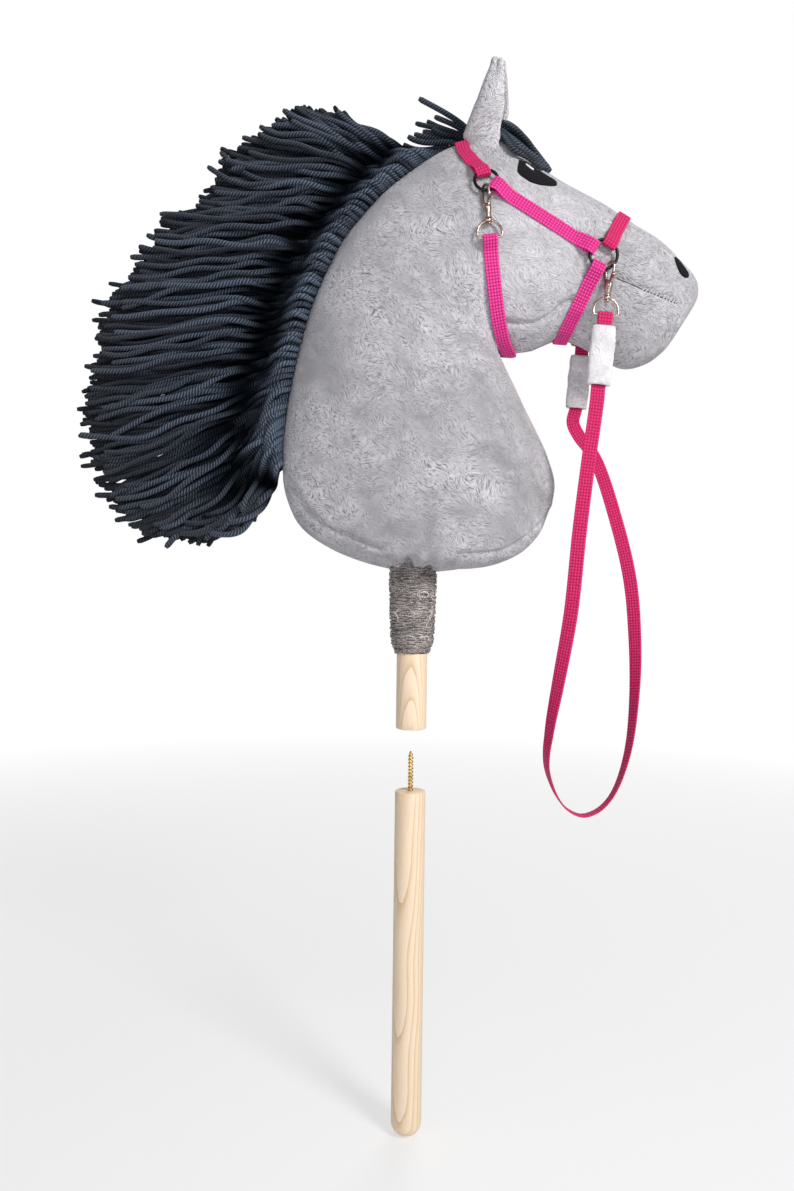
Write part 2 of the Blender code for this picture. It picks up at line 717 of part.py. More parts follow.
def build_ear(name, side):
    """A soft cupped ear, open to the front, that stands on the top of the head."""
    rows, columns = len(EAR_RADII), 9
    base = np.array([EAR_X, side * EAR_Y, surface_height(EAR_X, EAR_Y)])
    forward = math.tan(math.radians(EAR_LEAN_FORWARD))
    outward = math.tan(math.radians(EAR_LEAN_OUT))
    axis = unit(np.array([forward, side * outward, 1.0]))
    front = unit(np.array([1.0, 0, 0]) - axis * axis[0])
    across = np.cross(axis, front)
    walls = []
    for wall in (0.5, -0.5):
        grid = np.empty((rows, columns, 3))
        for i in range(rows):
            share = i / (rows - 1)
            radius = EAR_RADII[i] + wall * EAR_THICKNESS * (1 - 0.45 * share)
            middle = base - front * EAR_BOW * math.sin(math.pi * share ** 0.7)
            for j in range(columns):
                turn = math.radians(EAR_WRAP * (2 * j / (columns - 1) - 1))
                drop = EAR_TIP_DROP * (1 - math.cos(turn)) * share ** 3
                point = middle + axis * (EAR_LENGTH * share - drop)
                grid[i, j] = point - front * radius * math.cos(turn) + across * radius * math.sin(turn)
        for j in range(columns):
            grid[0, j, 2] = surface_height(grid[0, j, 0], abs(grid[0, j, 1])) + EAR_SEAT
        walls.append(grid)
    points = np.vstack([wall.reshape(-1, 3) for wall in walls])
    second = rows * columns
    faces = []
    for i in range(rows - 1):
        for j in range(columns - 1):
            a = i * columns + j
            for first in (0, second):
                faces.append((first + a, first + a + 1, first + a + columns + 1, first + a + columns))
        for a in (i * columns, i * columns + columns - 1):
            faces.append((a, a + columns, second + a + columns, second + a))
    for j in range(columns - 1):
        for a in (j, (rows - 1) * columns + j):
            faces.append((a, a + 1, second + a + 1, second + a))
    add_object(name, mesh_from(name, points, faces), "plush")


def surface_height(x, y):
    """The height of the top of the head at (x, y)."""
    hit, _, _, _ = SKIN.ray_cast(Vector((x, -y, 1.0)), Vector((0, 0, -1)))
    return hit[2]


def patch(name, outline, lift, thickness, material):
    """A felt shape that follows the skin, from an (x, z) outline, on the right side."""
    outline = np.array(outline)
    middle = outline.mean(axis=0)
    flat = [middle]
    for share in (0.5, 1.0):
        flat += [middle + (point - middle) * share for point in outline]
    count = len(outline)
    back, front = [], []
    for x, z in flat:
        point, normal = surface(x, z)
        back.append(point + normal * lift)
        front.append(point + normal * (lift + thickness))
    points = np.vstack([back, front])
    faces = []
    for start in (0, len(flat)):
        for k in range(count):
            a, b = start + 1 + k, start + 1 + (k + 1) % count
            faces.append((start, a, b))
            faces.append((a, a + count, b + count, b))
    for k in range(count):
        a, b = 1 + count + k, 1 + count + (k + 1) % count
        faces.append((a, b, b + len(flat), a + len(flat)))
    mesh = mesh_from(name + "_right", points, faces)
    add_object(name + "_right", mesh, material)
    add_object(name + "_left", mirrored_mesh(mesh, name + "_left"), material)


def build_face():
    for name, side in (("ear_right", -1), ("ear_left", 1)):
        build_ear(name, side)
    patch("eye", EYE, FELT_LIFT, FELT, "felt_black")
    patch("eye_glint", GLINT, FELT_LIFT + FELT + GAP, FELT / 2, "felt_white")
    patch("nostril", NOSTRIL, FELT_LIFT, FELT, "felt_black")
    points = []
    for x, z in smooth_curve(MOUTH, 12):
        point, normal = surface(x, z)
        points.append(point + normal * (THREAD_RADIUS + GAP * 2))
    mesh = tube("mouth_stitch_right", points, THREAD_RADIUS)
    add_object("mouth_stitch_right", mesh, "thread")
    add_object("mouth_stitch_left", mirrored_mesh(mesh, "mouth_stitch_left"), "thread")


# Mane and forelock

def build_mane():
    dense = smooth_curve([(*root, *tip) for root, tip in MANE_ROOTS], MANE_STEPS)
    side = np.array([0.0, 1.0, 0.0])
    top_of_band = BAND_LIFT + BAND_THICKNESS
    band_points, rings = [], []
    for i, (x, z, tip_x, tip_z) in enumerate(dense):
        before, after = dense[max(i - 1, 0)], dense[min(i + 1, len(dense) - 1)]
        direction = unit(after[:2] - before[:2])
        outward = np.array([direction[1], 0, -direction[0]])
        if outward[0] > 0:
            outward = -outward
        crest = crest_point(np.array([x, 0, z]))
        band_points.append(crest + outward * (BAND_LIFT + BAND_THICKNESS / 2))
        start = crest + outward * (top_of_band + 2 * GAP)
        end = np.array([tip_x, 0, tip_z])
        middle = start + (end - start) * MANE_MIDDLE
        far = start + (end - start) * MANE_FAR
        rings.append(np.array([
            start - side * MANE_HALF_ROOT, middle - side * MANE_HALF_MIDDLE,
            far - side * MANE_HALF_FAR, end - side * MANE_HALF_EDGE,
            end + side * MANE_HALF_EDGE, far + side * MANE_HALF_FAR,
            middle + side * MANE_HALF_MIDDLE, start + side * MANE_HALF_ROOT,
        ]))
    widths = [side] * len(band_points)
    band = ribbon("mane_band", band_points, widths, 2 * BAND_HALF_WIDTH, BAND_THICKNESS)
    add_object("mane_band", band, "yarn")
    add_object("mane", loft("mane", rings), "yarn")

    rings = []
    for low, high, half in FORELOCK:
        start = crest_point(np.array([low[0], 0, low[1]]))
        start[2] += FORELOCK_LIFT
        end = np.array([high[0], 0, high[1]])
        end[2] = max(end[2], start[2] + FORELOCK_LEAST)
        side = np.array([0.0, half, 0.0])
        rings.append(np.array([
            start - side * 0.6, (start + end) / 2 - side, end - side * 0.5,
            end + side * 0.5, (start + end) / 2 + side, start + side * 0.6,
        ]))
    add_object("forelock", loft("forelock", rings), "yarn")


def crest_point(point):
    """The nearest point to it on the upper seam of the skin."""
    best, least = None, math.inf
    crest = ROWS[1:, 0]
    for a, b in zip(crest[:-1], crest[1:]):
        share = min(1.0, max(0.0, np.dot(point - a, b - a) / np.dot(b - a, b - a)))
        near = a + (b - a) * share
        distance = np.linalg.norm(point - near)
        if distance < least:
            best, least = near, distance
    return best.copy()


# Halter: rings, straps that fold round them, and snap hooks

class Ring:
    """A ring of wire that lies on the side of the head."""

    def __init__(self, place, radius, side):
        self.radius = radius
        self.wire = RING_WIRE
        point, normal = surface(*place, side)
        around = []
        for k in range(8):
            angle = math.pi * k / 4
            spot = (place[0] + radius * math.cos(angle), place[1] + radius * math.sin(angle))
            around.append(surface(*spot, side)[1])
        self.normal = unit(np.sum(around, axis=0))
        self.centre = point + self.normal * RING_HEIGHT

    def along(self, direction):
        """A direction turned into the ring's own plane."""
        return unit(direction - self.normal * np.dot(direction, self.normal))


class Bar:
    """The straight bar of a swivel ring, which webbing folds round in one fixed direction."""

    def __init__(self, centre, normal, run):
        self.radius = 0.0
        self.wire = DEE_WIRE
        self.normal = normal
        self.centre = centre
        self.run = run

    def along(self, direction):
        return self.run


def strap_end(holder, points, normals, lengths):
    """The folded end of a strap: from its cut end, round the wire and out along its path."""
    half = WEBBING_WIDTH / 2
    offset = holder.wire + GAP + WEBBING / 2
    inner = math.sqrt(max(holder.radius ** 2 - half ** 2, 0)) - (0.5 * holder.wire if holder.radius else 0)
    base = STRAP_LIFT + WEBBING / 2
    wire_out = holder.radius + holder.wire + FOLD_ROOM
    fold_end = wire_out + FOLD_LENGTH

    def place(distance):
        point = np.array([np.interp(distance, lengths, points[:, k]) for k in range(3)])
        normal = unit(np.array([np.interp(distance, lengths, normals[:, k]) for k in range(3)]))
        return point, normal

    target, _ = place(fold_end)
    run = holder.along(target - holder.centre)
    up = holder.normal

    def rise(distance, height):
        point, normal = place(distance)
        return point + normal * height

    def flat(distance, lift):
        return holder.centre + run * distance + up * lift

    under = [rise(fold_end, base), (rise(fold_end, base) + flat(wire_out, -offset)) / 2]
    under.append(flat(wire_out, -offset))
    fold = []
    for k in range(7):
        angle = math.radians(-90 + 30 * k)
        fold.append(flat(inner - offset * math.cos(angle), offset * math.sin(angle)))
    over = [flat(wire_out, offset)]
    over_end = rise(fold_end, base + WEBBING + GAP)
    over.append((over[0] + over_end) / 2)
    over.append(over_end)
    return under + fold + over, fold_end + FOLD_TO_PATH


def lifted(point, normal, across):
    """The point pushed out along the normal until a strap's width there is clear of the skin."""
    for step in range(120):
        moved = point + normal * (STRAP_LIFT + WEBBING / 2 + step * LIFT_STEP)
        inner = moved - normal * WEBBING / 2
        for share in (-0.5, -0.25, 0.0, 0.25, 0.5):
            probe = inner + across * share * WEBBING_WIDTH
            near, out, _, _ = SKIN.find_nearest(Vector(probe))
            if np.dot(probe - np.array(near), np.array(out)) < STRAP_LIFT * 0.9:
                break
        else:
            return moved
    return moved


def strap(name, path, first, second):
    """A strap along a path of surface points, with both ends folded round their holders."""
    points, normals = path
    steps = np.linalg.norm(np.diff(points, axis=0), axis=1)
    lengths = np.r_[0, np.cumsum(steps)]
    start, start_at = strap_end(first, points, normals, lengths)
    back = (points[::-1], normals[::-1], lengths[-1] - lengths[::-1])
    end, end_at = strap_end(second, *back)
    middle, widths = [], []
    count = 2 * round((lengths[-1] - end_at - start_at) / (2 * STRAP_STEP)) + 1
    for distance in np.linspace(start_at, lengths[-1] - end_at, count):
        point, normal, tangent = (
            np.array([np.interp(spot, lengths, rows[:, k]) for k in range(3)])
            for spot, rows in ((distance, points), (distance, normals), (distance, np.gradient(points, axis=0))))
        normal = unit(normal)
        across = unit(np.cross(normal, tangent))
        middle.append(lifted(point, normal, across))
        widths.append(across)
    first_width = np.cross(first.normal, first.along(points[1] - points[0]))
    last_width = np.cross(second.normal, -second.along(points[-2] - points[-1]))
    route = start + middle + end[::-1]
    widths = [first_width] * len(start) + widths + [last_width] * len(end)
    return ribbon(name, route, widths, WEBBING_WIDTH, WEBBING)


def side_path(start, end):
    """Points and normals on the right of the head along a straight line in the side view."""
    count = 26
    points, normals = [], []
    for k in range(count):
        share = k / (count - 1)
        x = start[0] + (end[0] - start[0]) * share
        z = start[1] + (end[1] - start[1]) * share
        point, normal = surface(x, z)
        points.append(point)
        normals.append(normal)
    return np.array(points), smooth_normals(normals)


def wrap_path(place, angle, hub_distance):
    """Points and normals round the head in the plane through a ring at an angle in the side view."""
    direction = np.array([math.cos(math.radians(angle)), 0, math.sin(math.radians(angle))])
    hub = np.array([place[0], 0, place[1]]) + direction * hub_distance
    right, _ = surface(*place)
    start_angle = math.atan2(np.dot(right - hub, direction), -right[1])
    points, normals = [], []
    count = 61
    for k in range(count):
        turn = start_angle + (math.pi - 2 * start_angle) * k / (count - 1)
        outward = Vector(direction * math.sin(turn) + np.array([0, -math.cos(turn), 0]))
        hit, normal, _, _ = SKIN.ray_cast(Vector(hub), outward)
        normal = np.array(normal)
        if np.dot(normal, np.array(outward)) < 0:
            normal = -normal
        points.append(np.array(hit))
        normals.append(normal)
    return np.array(points), smooth_normals(normals, 4)


def frame_matrix(origin, side, out, up):
    matrix = Matrix.Identity(4)
    for column, vector in enumerate((side, out, up, origin)):
        for row in range(3):
            matrix[row][column] = vector[row]
    return matrix


def hook_jaw_top():
    return HOOK_WIRE + RING_WIRE + JAW_CLEARANCE


def hook_mesh():
    """A snap hook's fixed half: jaw, body and swivel post. The wire it hangs from is at the origin."""
    crown = hook_jaw_top() - JAW_RADIUS
    body_low = -HOOK_BODY_TOP - HOOK_BODY_LENGTH
    points = [(-JAW_RADIUS * 0.75, 0, -HOOK_BODY_TOP - 0.002), (-JAW_RADIUS, 0, -HOOK_BODY_TOP * 0.6)]
    for k in range(9):
        angle = math.pi - math.pi * k / 8
        points.append((JAW_RADIUS * math.cos(angle), 0, crown + JAW_RADIUS * math.sin(angle)))
    points.append((JAW_RADIUS, 0, -JAW_NOSE))
    jaw = bpy.data.objects.new("jaw", tube("jaw", points, HOOK_WIRE, resolution=1))
    body = bmesh.new()
    bmesh.ops.create_cube(body, size=1.0)
    for vert in body.verts:
        low = vert.co.z < 0
        width = HOOK_BODY_WIDTH * (0.62 if low else 1.0)
        vert.co.x *= width
        vert.co.y *= HOOK_BODY_DEPTH
        vert.co.z = body_low if low else -HOOK_BODY_TOP
    body_mesh = bpy.data.meshes.new("hook_body")
    body.to_mesh(body_mesh)
    body.free()
    obj = bpy.data.objects.new("hook_body", body_mesh)
    PARTS.objects.link(obj)
    slot_mesh = bpy.data.meshes.new("gate_slot")
    work = bmesh.new()
    bmesh.ops.create_cube(work, size=1.0)
    for vert in work.verts:
        vert.co.x = vert.co.x * SLOT_LENGTH + SLOT_SHIFT
        vert.co.y *= GATE_WIDTH + 2 * GAP
        vert.co.z = vert.co.z * SLOT_HEIGHT - HOOK_BODY_TOP - SLOT_DROP
    work.to_mesh(slot_mesh)
    work.free()
    add_boolean(obj, bpy.data.objects.new("gate_slot", slot_mesh), "DIFFERENCE")
    add_boolean(obj, jaw, "UNION")
    post_low = body_low - GAP - EYE_HEIGHT - GAP
    post = turned("post", [
        (0, body_low + 0.001), (POST_RADIUS, body_low + 0.001), (POST_RADIUS, post_low),
        (POST_HEAD_RADIUS, post_low), (POST_HEAD_RADIUS, post_low - POST_HEAD_LENGTH),
        (0, post_low - POST_HEAD_LENGTH),
    ], "snap_nickel", steps=10)
    add_boolean(obj, post, "UNION")
    mesh = mesh_of(obj)
    bpy.data.objects.remove(obj, do_unlink=True)
    return mesh


def gate_pivot():
    return np.array([HOOK_BODY_WIDTH * 0.24, 0, -HOOK_BODY_TOP - GATE_PIVOT_DROP])


def gate_mesh():
    """The sprung gate with its thumb tab, which closes against the nose of the jaw."""
    pivot = gate_pivot()
    top = -JAW_NOSE - GAP - GATE_RISE
    half = GATE_WIDTH / 2
    foot_x, foot_z = pivot[0], pivot[2]
    tab_x, tab_z = JAW_RADIUS + THUMB_REACH, -HOOK_BODY_TOP
    outline = [
        (foot_x - GATE_BACK, foot_z - GATE_BACK), (foot_x + GATE_EDGE, foot_z - GATE_BACK),
        (JAW_RADIUS + GATE_EDGE * 0.2, tab_z + GATE_EDGE * 0.5),
        (tab_x, tab_z + GATE_EDGE * 1.5),
        (tab_x + GATE_EDGE * 0.5, tab_z + GATE_EDGE * 2.7),
        (JAW_RADIUS + GATE_EDGE * 1.2, tab_z + GATE_EDGE * 3.3),
        (JAW_RADIUS + GATE_EDGE, top - GATE_BACK), (JAW_RADIUS + GATE_EDGE * 0.25, top),
        (JAW_RADIUS - GATE_EDGE, top),
        (foot_x - GATE_BACK, foot_z + GATE_EDGE * 2.5),
    ]
    count = len(outline)
    points = [(x, -half, z) for x, z in outline] + [(x, half, z) for x, z in outline]
    faces = [tuple(range(count)), tuple(range(count, 2 * count))]
    for k in range(count):
        faces.append((k, (k + 1) % count, (k + 1) % count + count, k + count))
    return mesh_from("gate", points, faces)


def dee_eye_middle():
    return -HOOK_BODY_TOP - HOOK_BODY_LENGTH - GAP - EYE_HEIGHT / 2


def dee_bar_height():
    return dee_eye_middle() - DEE_HEIGHT


def dee_mesh():
    """A D-shaped ring with the eye that the hook's post turns in."""
    middle = dee_eye_middle()
    half = DEE_WIDTH / 2
    low = middle - DEE_HEIGHT
    points = []
    for k in range(11):
        angle = math.pi * k / 10
        points.append((half * math.cos(angle), 0, low + DEE_SHOULDER + (DEE_HEIGHT - DEE_SHOULDER) * math.sin(angle)))
    points += [(-half * 0.93, 0, low + DEE_CORNER), (-half * 0.80, 0, low), (half * 0.80, 0, low)]
    points += [(half * 0.93, 0, low + DEE_CORNER)]
    ring_mesh = tube("dee", points, DEE_WIRE, resolution=1, cyclic=True)
    obj = bpy.data.objects.new("dee", ring_mesh)
    PARTS.objects.link(obj)
    eye = turned("dee_eye", [
        (0, middle + EYE_HEIGHT / 2), (EYE_RADIUS, middle + EYE_HEIGHT / 2),
        (EYE_RADIUS, middle - EYE_HEIGHT / 2), (0, middle - EYE_HEIGHT / 2),
    ], "snap_nickel", steps=12)
    bore = turned("dee_bore", [
        (0, middle + EYE_HEIGHT), (POST_RADIUS + GAP, middle + EYE_HEIGHT),
        (POST_RADIUS + GAP, middle - EYE_HEIGHT), (0, middle - EYE_HEIGHT),
    ], "snap_nickel", steps=10)
    add_boolean(obj, eye, "UNION")
    add_boolean(obj, bore, "DIFFERENCE")
    mesh = mesh_of(obj)
    bpy.data.objects.remove(obj, do_unlink=True)
    return mesh


def build_snap(name, side_name, origin, out, up, meshes):
    """One snap hook, its gate and its swivel ring. Returns the frame's axes."""
    up = unit(up)
    out = unit(out - up * np.dot(out, up))
    side = np.cross(out, up)
    hook, gate, dee = meshes
    facing = frame_matrix(origin, side, out, up)
    # The gate looks forward on both sides of the head
    turn = 180 - HOOK_TURN if out[1] < 0 else HOOK_TURN
    turned_frame = facing @ Matrix.Rotation(math.radians(turn), 4, "Z")
    add_object(f"{name}_hook_{side_name}", hook, "snap_nickel", turned_frame)
    add_object(f"{name}_dee_{side_name}", dee, "snap_nickel", facing)
    pivot = gate_pivot()
    gate_obj = add_object(f"{name}_gate_{side_name}", gate, "snap_nickel")
    gate_obj.matrix_world = turned_frame @ Matrix.Translation(pivot)
    axis = turned_frame.to_3x3() @ Vector((0, 1, 0))
    report(f"{name}_gate_{side_name}", gate_obj.matrix_world.translation, axis)
    report(f"{name}_hook_{side_name}", origin, up)
    bar = origin + up * dee_bar_height()
    return Bar(bar, out, -up)


def report(name, point, axis):
    print("joint", name, [round(value, 5) for value in point], [round(value, 5) for value in axis])


def build_halter():
    rings = {}
    for side_name, side in (("right", -1), ("left", 1)):
        rings["upper", side_name] = Ring(UPPER_RING, UPPER_RING_RADIUS, side)
        rings["lower", side_name] = Ring(LOWER_RING, LOWER_RING_RADIUS, side)
    for (level, side_name), ring in rings.items():
        bpy.ops.mesh.primitive_torus_add(
            major_radius=ring.radius, minor_radius=ring.wire, major_segments=24, minor_segments=6)
        obj = bpy.context.active_object
        mesh = obj.data
        bpy.data.objects.remove(obj, do_unlink=True)
        rotation = Vector(ring.normal).to_track_quat("Z", "Y").to_matrix().to_4x4()
        matrix = Matrix.Translation(ring.centre) @ rotation
        add_object(f"{level}_ring_{side_name}", mesh, "ring_black", matrix)
        report(f"{level}_ring_{side_name}", ring.centre, ring.normal)

    right_upper, right_lower = rings["upper", "right"], rings["lower", "right"]
    left_upper, left_lower = rings["upper", "left"], rings["lower", "left"]
    cheek = strap("cheek_strap_right", side_path(UPPER_RING, LOWER_RING), right_upper, right_lower)
    add_object("cheek_strap_right", cheek, "webbing")
    add_object("cheek_strap_left", mirrored_mesh(cheek, "cheek_strap_left"), "webbing")
    for name, place, angle, hub, first, second in (
        ("crown_strap", UPPER_RING, CROWN_ANGLE, 0.010, right_upper, left_upper),
        ("nose_strap", LOWER_RING, NOSE_ANGLE, 0.008, right_lower, left_lower),
        ("chin_strap", LOWER_RING, CHIN_ANGLE, 0.020, right_lower, left_lower),
    ):
        mesh = strap(name, wrap_path(place, angle, hub), first, second)
        add_object(name, mesh, "webbing")

    meshes = (hook_mesh(), gate_at_pivot(), dee_mesh())
    bars = {}
    for side_name, side in (("right", -1), ("left", 1)):
        ring = rings["upper", side_name]
        hang = ring_point(ring, THROAT_HOOK_ANGLE)
        down = throat_direction(ring, hang)
        bars["throat", side_name] = build_snap("throat", side_name, hang, ring.normal, -down, meshes)
        ring = rings["lower", side_name]
        hang = ring_point(ring, REIN_HOOK_ANGLE)
        up = np.array([math.sin(math.radians(REIN_LEAN)), 0, math.cos(math.radians(REIN_LEAN))])
        report(f"reins_{side_name}", hang, (0, 1, 0))
        bars["rein", side_name] = build_snap(
            "rein", side_name, hang, np.array([0, side, 0.0]), up, meshes)
    build_throat_strap(bars)
    build_reins(bars, hang)


def gate_at_pivot():
    mesh = gate_mesh()
    mesh.transform(Matrix.Translation(-Vector(gate_pivot())))
    return mesh


def ring_point(ring, angle):
    direction = np.array([math.cos(math.radians(angle)), 0, math.sin(math.radians(angle))])
    return ring.centre + ring.along(direction) * ring.radius


def throat_direction(ring, hang):
    """Down along the cheek from the upper ring, level with the skin."""
    side = math.copysign(1, hang[1])
    reach = -dee_bar_height()
    angle = math.radians(THROAT_HANG_ANGLE)
    low = (hang[0] + reach * math.cos(angle), hang[2] + reach * math.sin(angle))
    point, normal = surface(*low, side)
    return unit(point + normal * THROAT_BAR_HEIGHT - hang)


def build_throat_strap(bars):
    """It runs down each cheek from the swivel ring and crosses under the back of the jaw."""
    right = bars["throat", "right"]
    top, _ = surface(right.centre[0], right.centre[2])
    half = [top] + [np.array([x, -y, z]) for x, y, z in THROAT_ROUTE]
    mirror = np.array([1.0, -1.0, 1.0])
    points = smooth_curve(half + [point * mirror for point in half[-2::-1]], 61)
    hub = np.array([0.0, 0.0, top[2] - HUB_DROP])
    normals = [unit(point * np.array([0, 1, 1]) - hub) for point in points]
    mesh = strap("throat_strap", (points, np.array(normals)), right, bars["throat", "left"])
    add_object("throat_strap", mesh, "webbing")


def build_reins(bars, hang):
    right, left = bars["rein", "right"], bars["rein", "left"]
    lean = math.radians(REIN_LEAN)
    down = np.array([-math.sin(lean), 0, -math.cos(lean)])
    rows = []
    for bar in (right, left):
        start = bar.centre
        rows.append([[*(start + down * distance), 0] for distance in REIN_STRAIGHT])
    middle = [[*point, angle] for point, angle in REIN_ROUTE]
    route = smooth_curve(rows[0] + middle + rows[1][::-1], REIN_STEPS)
    covered = [rein_end(right, down), rein_end(left, down)]
    inside = [row for row in route if min(
        np.linalg.norm(row[:3] - right.centre), np.linalg.norm(row[:3] - left.centre)) > REIN_DOUBLED + REIN_FREE]
    points = covered[0] + [row[:3] for row in inside] + covered[1][::-1]
    angles = [0.0] * len(covered[0]) + [row[3] for row in inside] + [0.0] * len(covered[1])
    widths = [(-math.cos(math.radians(a)), math.sin(math.radians(a)), 0) for a in angles]
    for k in range(len(covered[0])):
        widths[k] = np.cross(right.normal, -down)
        widths[-1 - k] = -np.cross(left.normal, -down)
    pivot = bpy.data.objects.new("reins_pivot", None)
    pivot.empty_display_size = WEBBING_WIDTH
    pivot.location = (hang[0], 0, hang[2])
    PARTS.objects.link(pivot)
    rein = ribbon("rein_strap", points, widths, WEBBING_WIDTH, WEBBING)
    pieces = [("rein_strap", rein, "webbing")]
    for side_name, bar in (("right", right), ("left", left)):
        pieces.append((f"rein_sleeve_{side_name}", cover_mesh(bar, down), "sleeve_white"))
    for name, mesh, material in pieces:
        mesh.transform(Matrix.Translation(-pivot.location))
        add_object(name, mesh, material).parent = pivot


def rein_end(bar, down):
    """The rein's end: a layer that comes up inside the sleeve, folds round the bar and goes down."""
    out = bar.normal
    offset = bar.wire + GAP + WEBBING / 2
    close = WEBBING / 2 + GAP / 2
    points = [bar.centre + down * REIN_DOUBLED - out * close, bar.centre + down * REIN_CLOSE - out * close]
    for k in range(7):
        angle = math.radians(-90 + 30 * k)
        points.append(bar.centre - down * offset * math.cos(angle) + out * offset * math.sin(angle))
    points += [bar.centre + down * REIN_CLOSE + out * close, bar.centre + down * REIN_DOUBLED + out * close]
    return points


def cover_mesh(bar, down):
    """A soft sleeve round the doubled end of the rein, open at both ends."""
    out = bar.normal
    side = np.cross(out, -down)
    outer, inner = [], []
    room = WEBBING_WIDTH / 2 + SLEEVE_COVER_ROOM
    room_depth = WEBBING + GAP / 2 + SLEEVE_COVER_ROOM
    shape = [(1, 0.35), (0.8, 1), (0.3, 1.08), (-0.3, 1.08), (-0.8, 1), (-1, 0.35),
             (-1, -0.35), (-0.8, -1), (-0.3, -1.08), (0.3, -1.08), (0.8, -1), (1, -0.35)]
    hole = [(1, 0.5), (1, 1), (0.3, 1), (-0.3, 1), (-1, 1), (-1, 0.5),
            (-1, -0.5), (-1, -1), (-0.3, -1), (0.3, -1), (1, -1), (1, -0.5)]
    rows = 5
    for i in range(rows):
        share = i / (rows - 1)
        middle = bar.centre + down * (SLEEVE_COVER_START + SLEEVE_COVER_LENGTH * share)
        plump = 0.94 + 0.06 * math.sin(math.pi * share)
        outer.append(np.array([
            middle + side * a * SLEEVE_COVER_WIDTH / 2 * plump + out * b * SLEEVE_COVER_DEPTH / 2 * plump
            for a, b in shape]))
        inner.append(np.array([middle + side * a * room + out * b * room_depth for a, b in hole]))
    return ring_shell("rein_sleeve", outer, inner)


build_sticks()
build_plush()
build_binding()
build_face()
build_mane()
build_halter()
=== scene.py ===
# Hobby horse: plush, yarn, webbing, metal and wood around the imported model.
# Metres, +Z up; the horse faces +X and shows its right side, -Y, to the camera.
import json
import math
import random

import bmesh
import bpy
import numpy as np
from mathutils import Matrix, Vector, noise
from mathutils.bvhtree import BVHTree


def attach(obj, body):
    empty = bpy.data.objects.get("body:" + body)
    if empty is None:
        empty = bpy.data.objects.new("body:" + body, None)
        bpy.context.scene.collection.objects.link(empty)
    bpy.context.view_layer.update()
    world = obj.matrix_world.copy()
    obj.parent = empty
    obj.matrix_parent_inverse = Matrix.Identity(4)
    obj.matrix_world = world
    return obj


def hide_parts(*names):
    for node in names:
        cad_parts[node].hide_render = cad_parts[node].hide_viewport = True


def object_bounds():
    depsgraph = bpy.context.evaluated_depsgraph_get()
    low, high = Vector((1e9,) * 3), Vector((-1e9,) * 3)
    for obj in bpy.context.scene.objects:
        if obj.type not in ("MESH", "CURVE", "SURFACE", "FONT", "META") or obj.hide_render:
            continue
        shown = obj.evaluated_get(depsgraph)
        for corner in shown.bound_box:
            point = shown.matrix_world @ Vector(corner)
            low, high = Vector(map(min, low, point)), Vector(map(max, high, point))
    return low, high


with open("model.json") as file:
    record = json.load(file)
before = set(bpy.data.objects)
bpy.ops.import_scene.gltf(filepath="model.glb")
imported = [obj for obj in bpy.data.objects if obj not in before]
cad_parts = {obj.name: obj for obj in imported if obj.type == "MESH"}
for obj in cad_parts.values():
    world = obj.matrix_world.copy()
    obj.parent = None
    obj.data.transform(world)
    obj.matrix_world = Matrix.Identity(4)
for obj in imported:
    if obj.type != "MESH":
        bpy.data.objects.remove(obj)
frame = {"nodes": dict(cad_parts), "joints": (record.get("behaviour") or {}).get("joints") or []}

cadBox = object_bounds()
joints = {joint["name"]: joint for joint in frame["joints"]}
scene = bpy.context.scene
upAxis = np.array([0.0, 0.0, 1.0])
sides = ((-1, "right"), (1, "left"))


# Small helpers

def unit(vector):
    return vector / np.linalg.norm(vector)


def clipped(value, low=0.0, high=1.0):
    return min(high, max(low, value))


def jointPlace(name):
    return np.array(joints[name]["pos_m"], float)


def jointAxis(name):
    return np.array(joints[name]["axis"], float)


def linked(name, data):
    obj = bpy.data.objects.new(name, data)
    scene.collection.objects.link(obj)
    return obj


def meshFrom(name, points, faces):
    mesh = bpy.data.meshes.new(name)
    mesh.from_pydata([tuple(map(float, point)) for point in points], [], faces)
    mesh.validate()
    turnOut(mesh)
    mesh.shade_smooth()
    return mesh


def turnOut(mesh):
    work = bmesh.new()
    work.from_mesh(mesh)
    bmesh.ops.recalc_face_normals(work, faces=work.faces)
    work.to_mesh(mesh)
    work.free()


def addPiece(name, mesh, material, body, slot, *nodes):
    mesh.name = name
    if material is not None:
        mesh.materials.clear()
        mesh.materials.append(material)
    piece = linked(name, mesh)
    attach(piece, body)
    if nodes:
        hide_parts(*nodes)
    return piece


def evaluatedMesh(obj):
    graph = bpy.context.evaluated_depsgraph_get()
    return bpy.data.meshes.new_from_object(obj.evaluated_get(graph))


def joinMeshes(name, meshes):
    work = bmesh.new()
    for mesh in meshes:
        work.from_mesh(mesh)
    made = bpy.data.meshes.new(name)
    work.to_mesh(made)
    work.free()
    made.shade_smooth()
    return made


def splinePoint(p0, p1, p2, p3, t):
    return 0.5 * (2 * p1 + (p2 - p0) * t + (2 * p0 - 5 * p1 + 4 * p2 - p3) * t ** 2
                  + (3 * p1 - p0 - 3 * p2 + p3) * t ** 3)


def smoothCurve(rows, steps, perSpan=12):
    rows = np.array(rows, float)
    ends = np.vstack([2 * rows[0] - rows[1], rows, 2 * rows[-1] - rows[-2]])
    dense = [splinePoint(*ends[i - 1:i + 3], t) for i in range(1, len(ends) - 2)
             for t in np.linspace(0, 1, perSpan, endpoint=False)]
    dense = np.array(dense + [rows[-1]])
    lengths = runLengths(dense[:, :3])
    wanted = np.linspace(0, lengths[-1], steps)
    return np.column_stack([np.interp(wanted, lengths, column) for column in dense.T])


def closedCurve(outline, steps):
    return smoothCurve([(*point, 0.0) for point in outline + outline[:1]], steps)[:-1, :2]


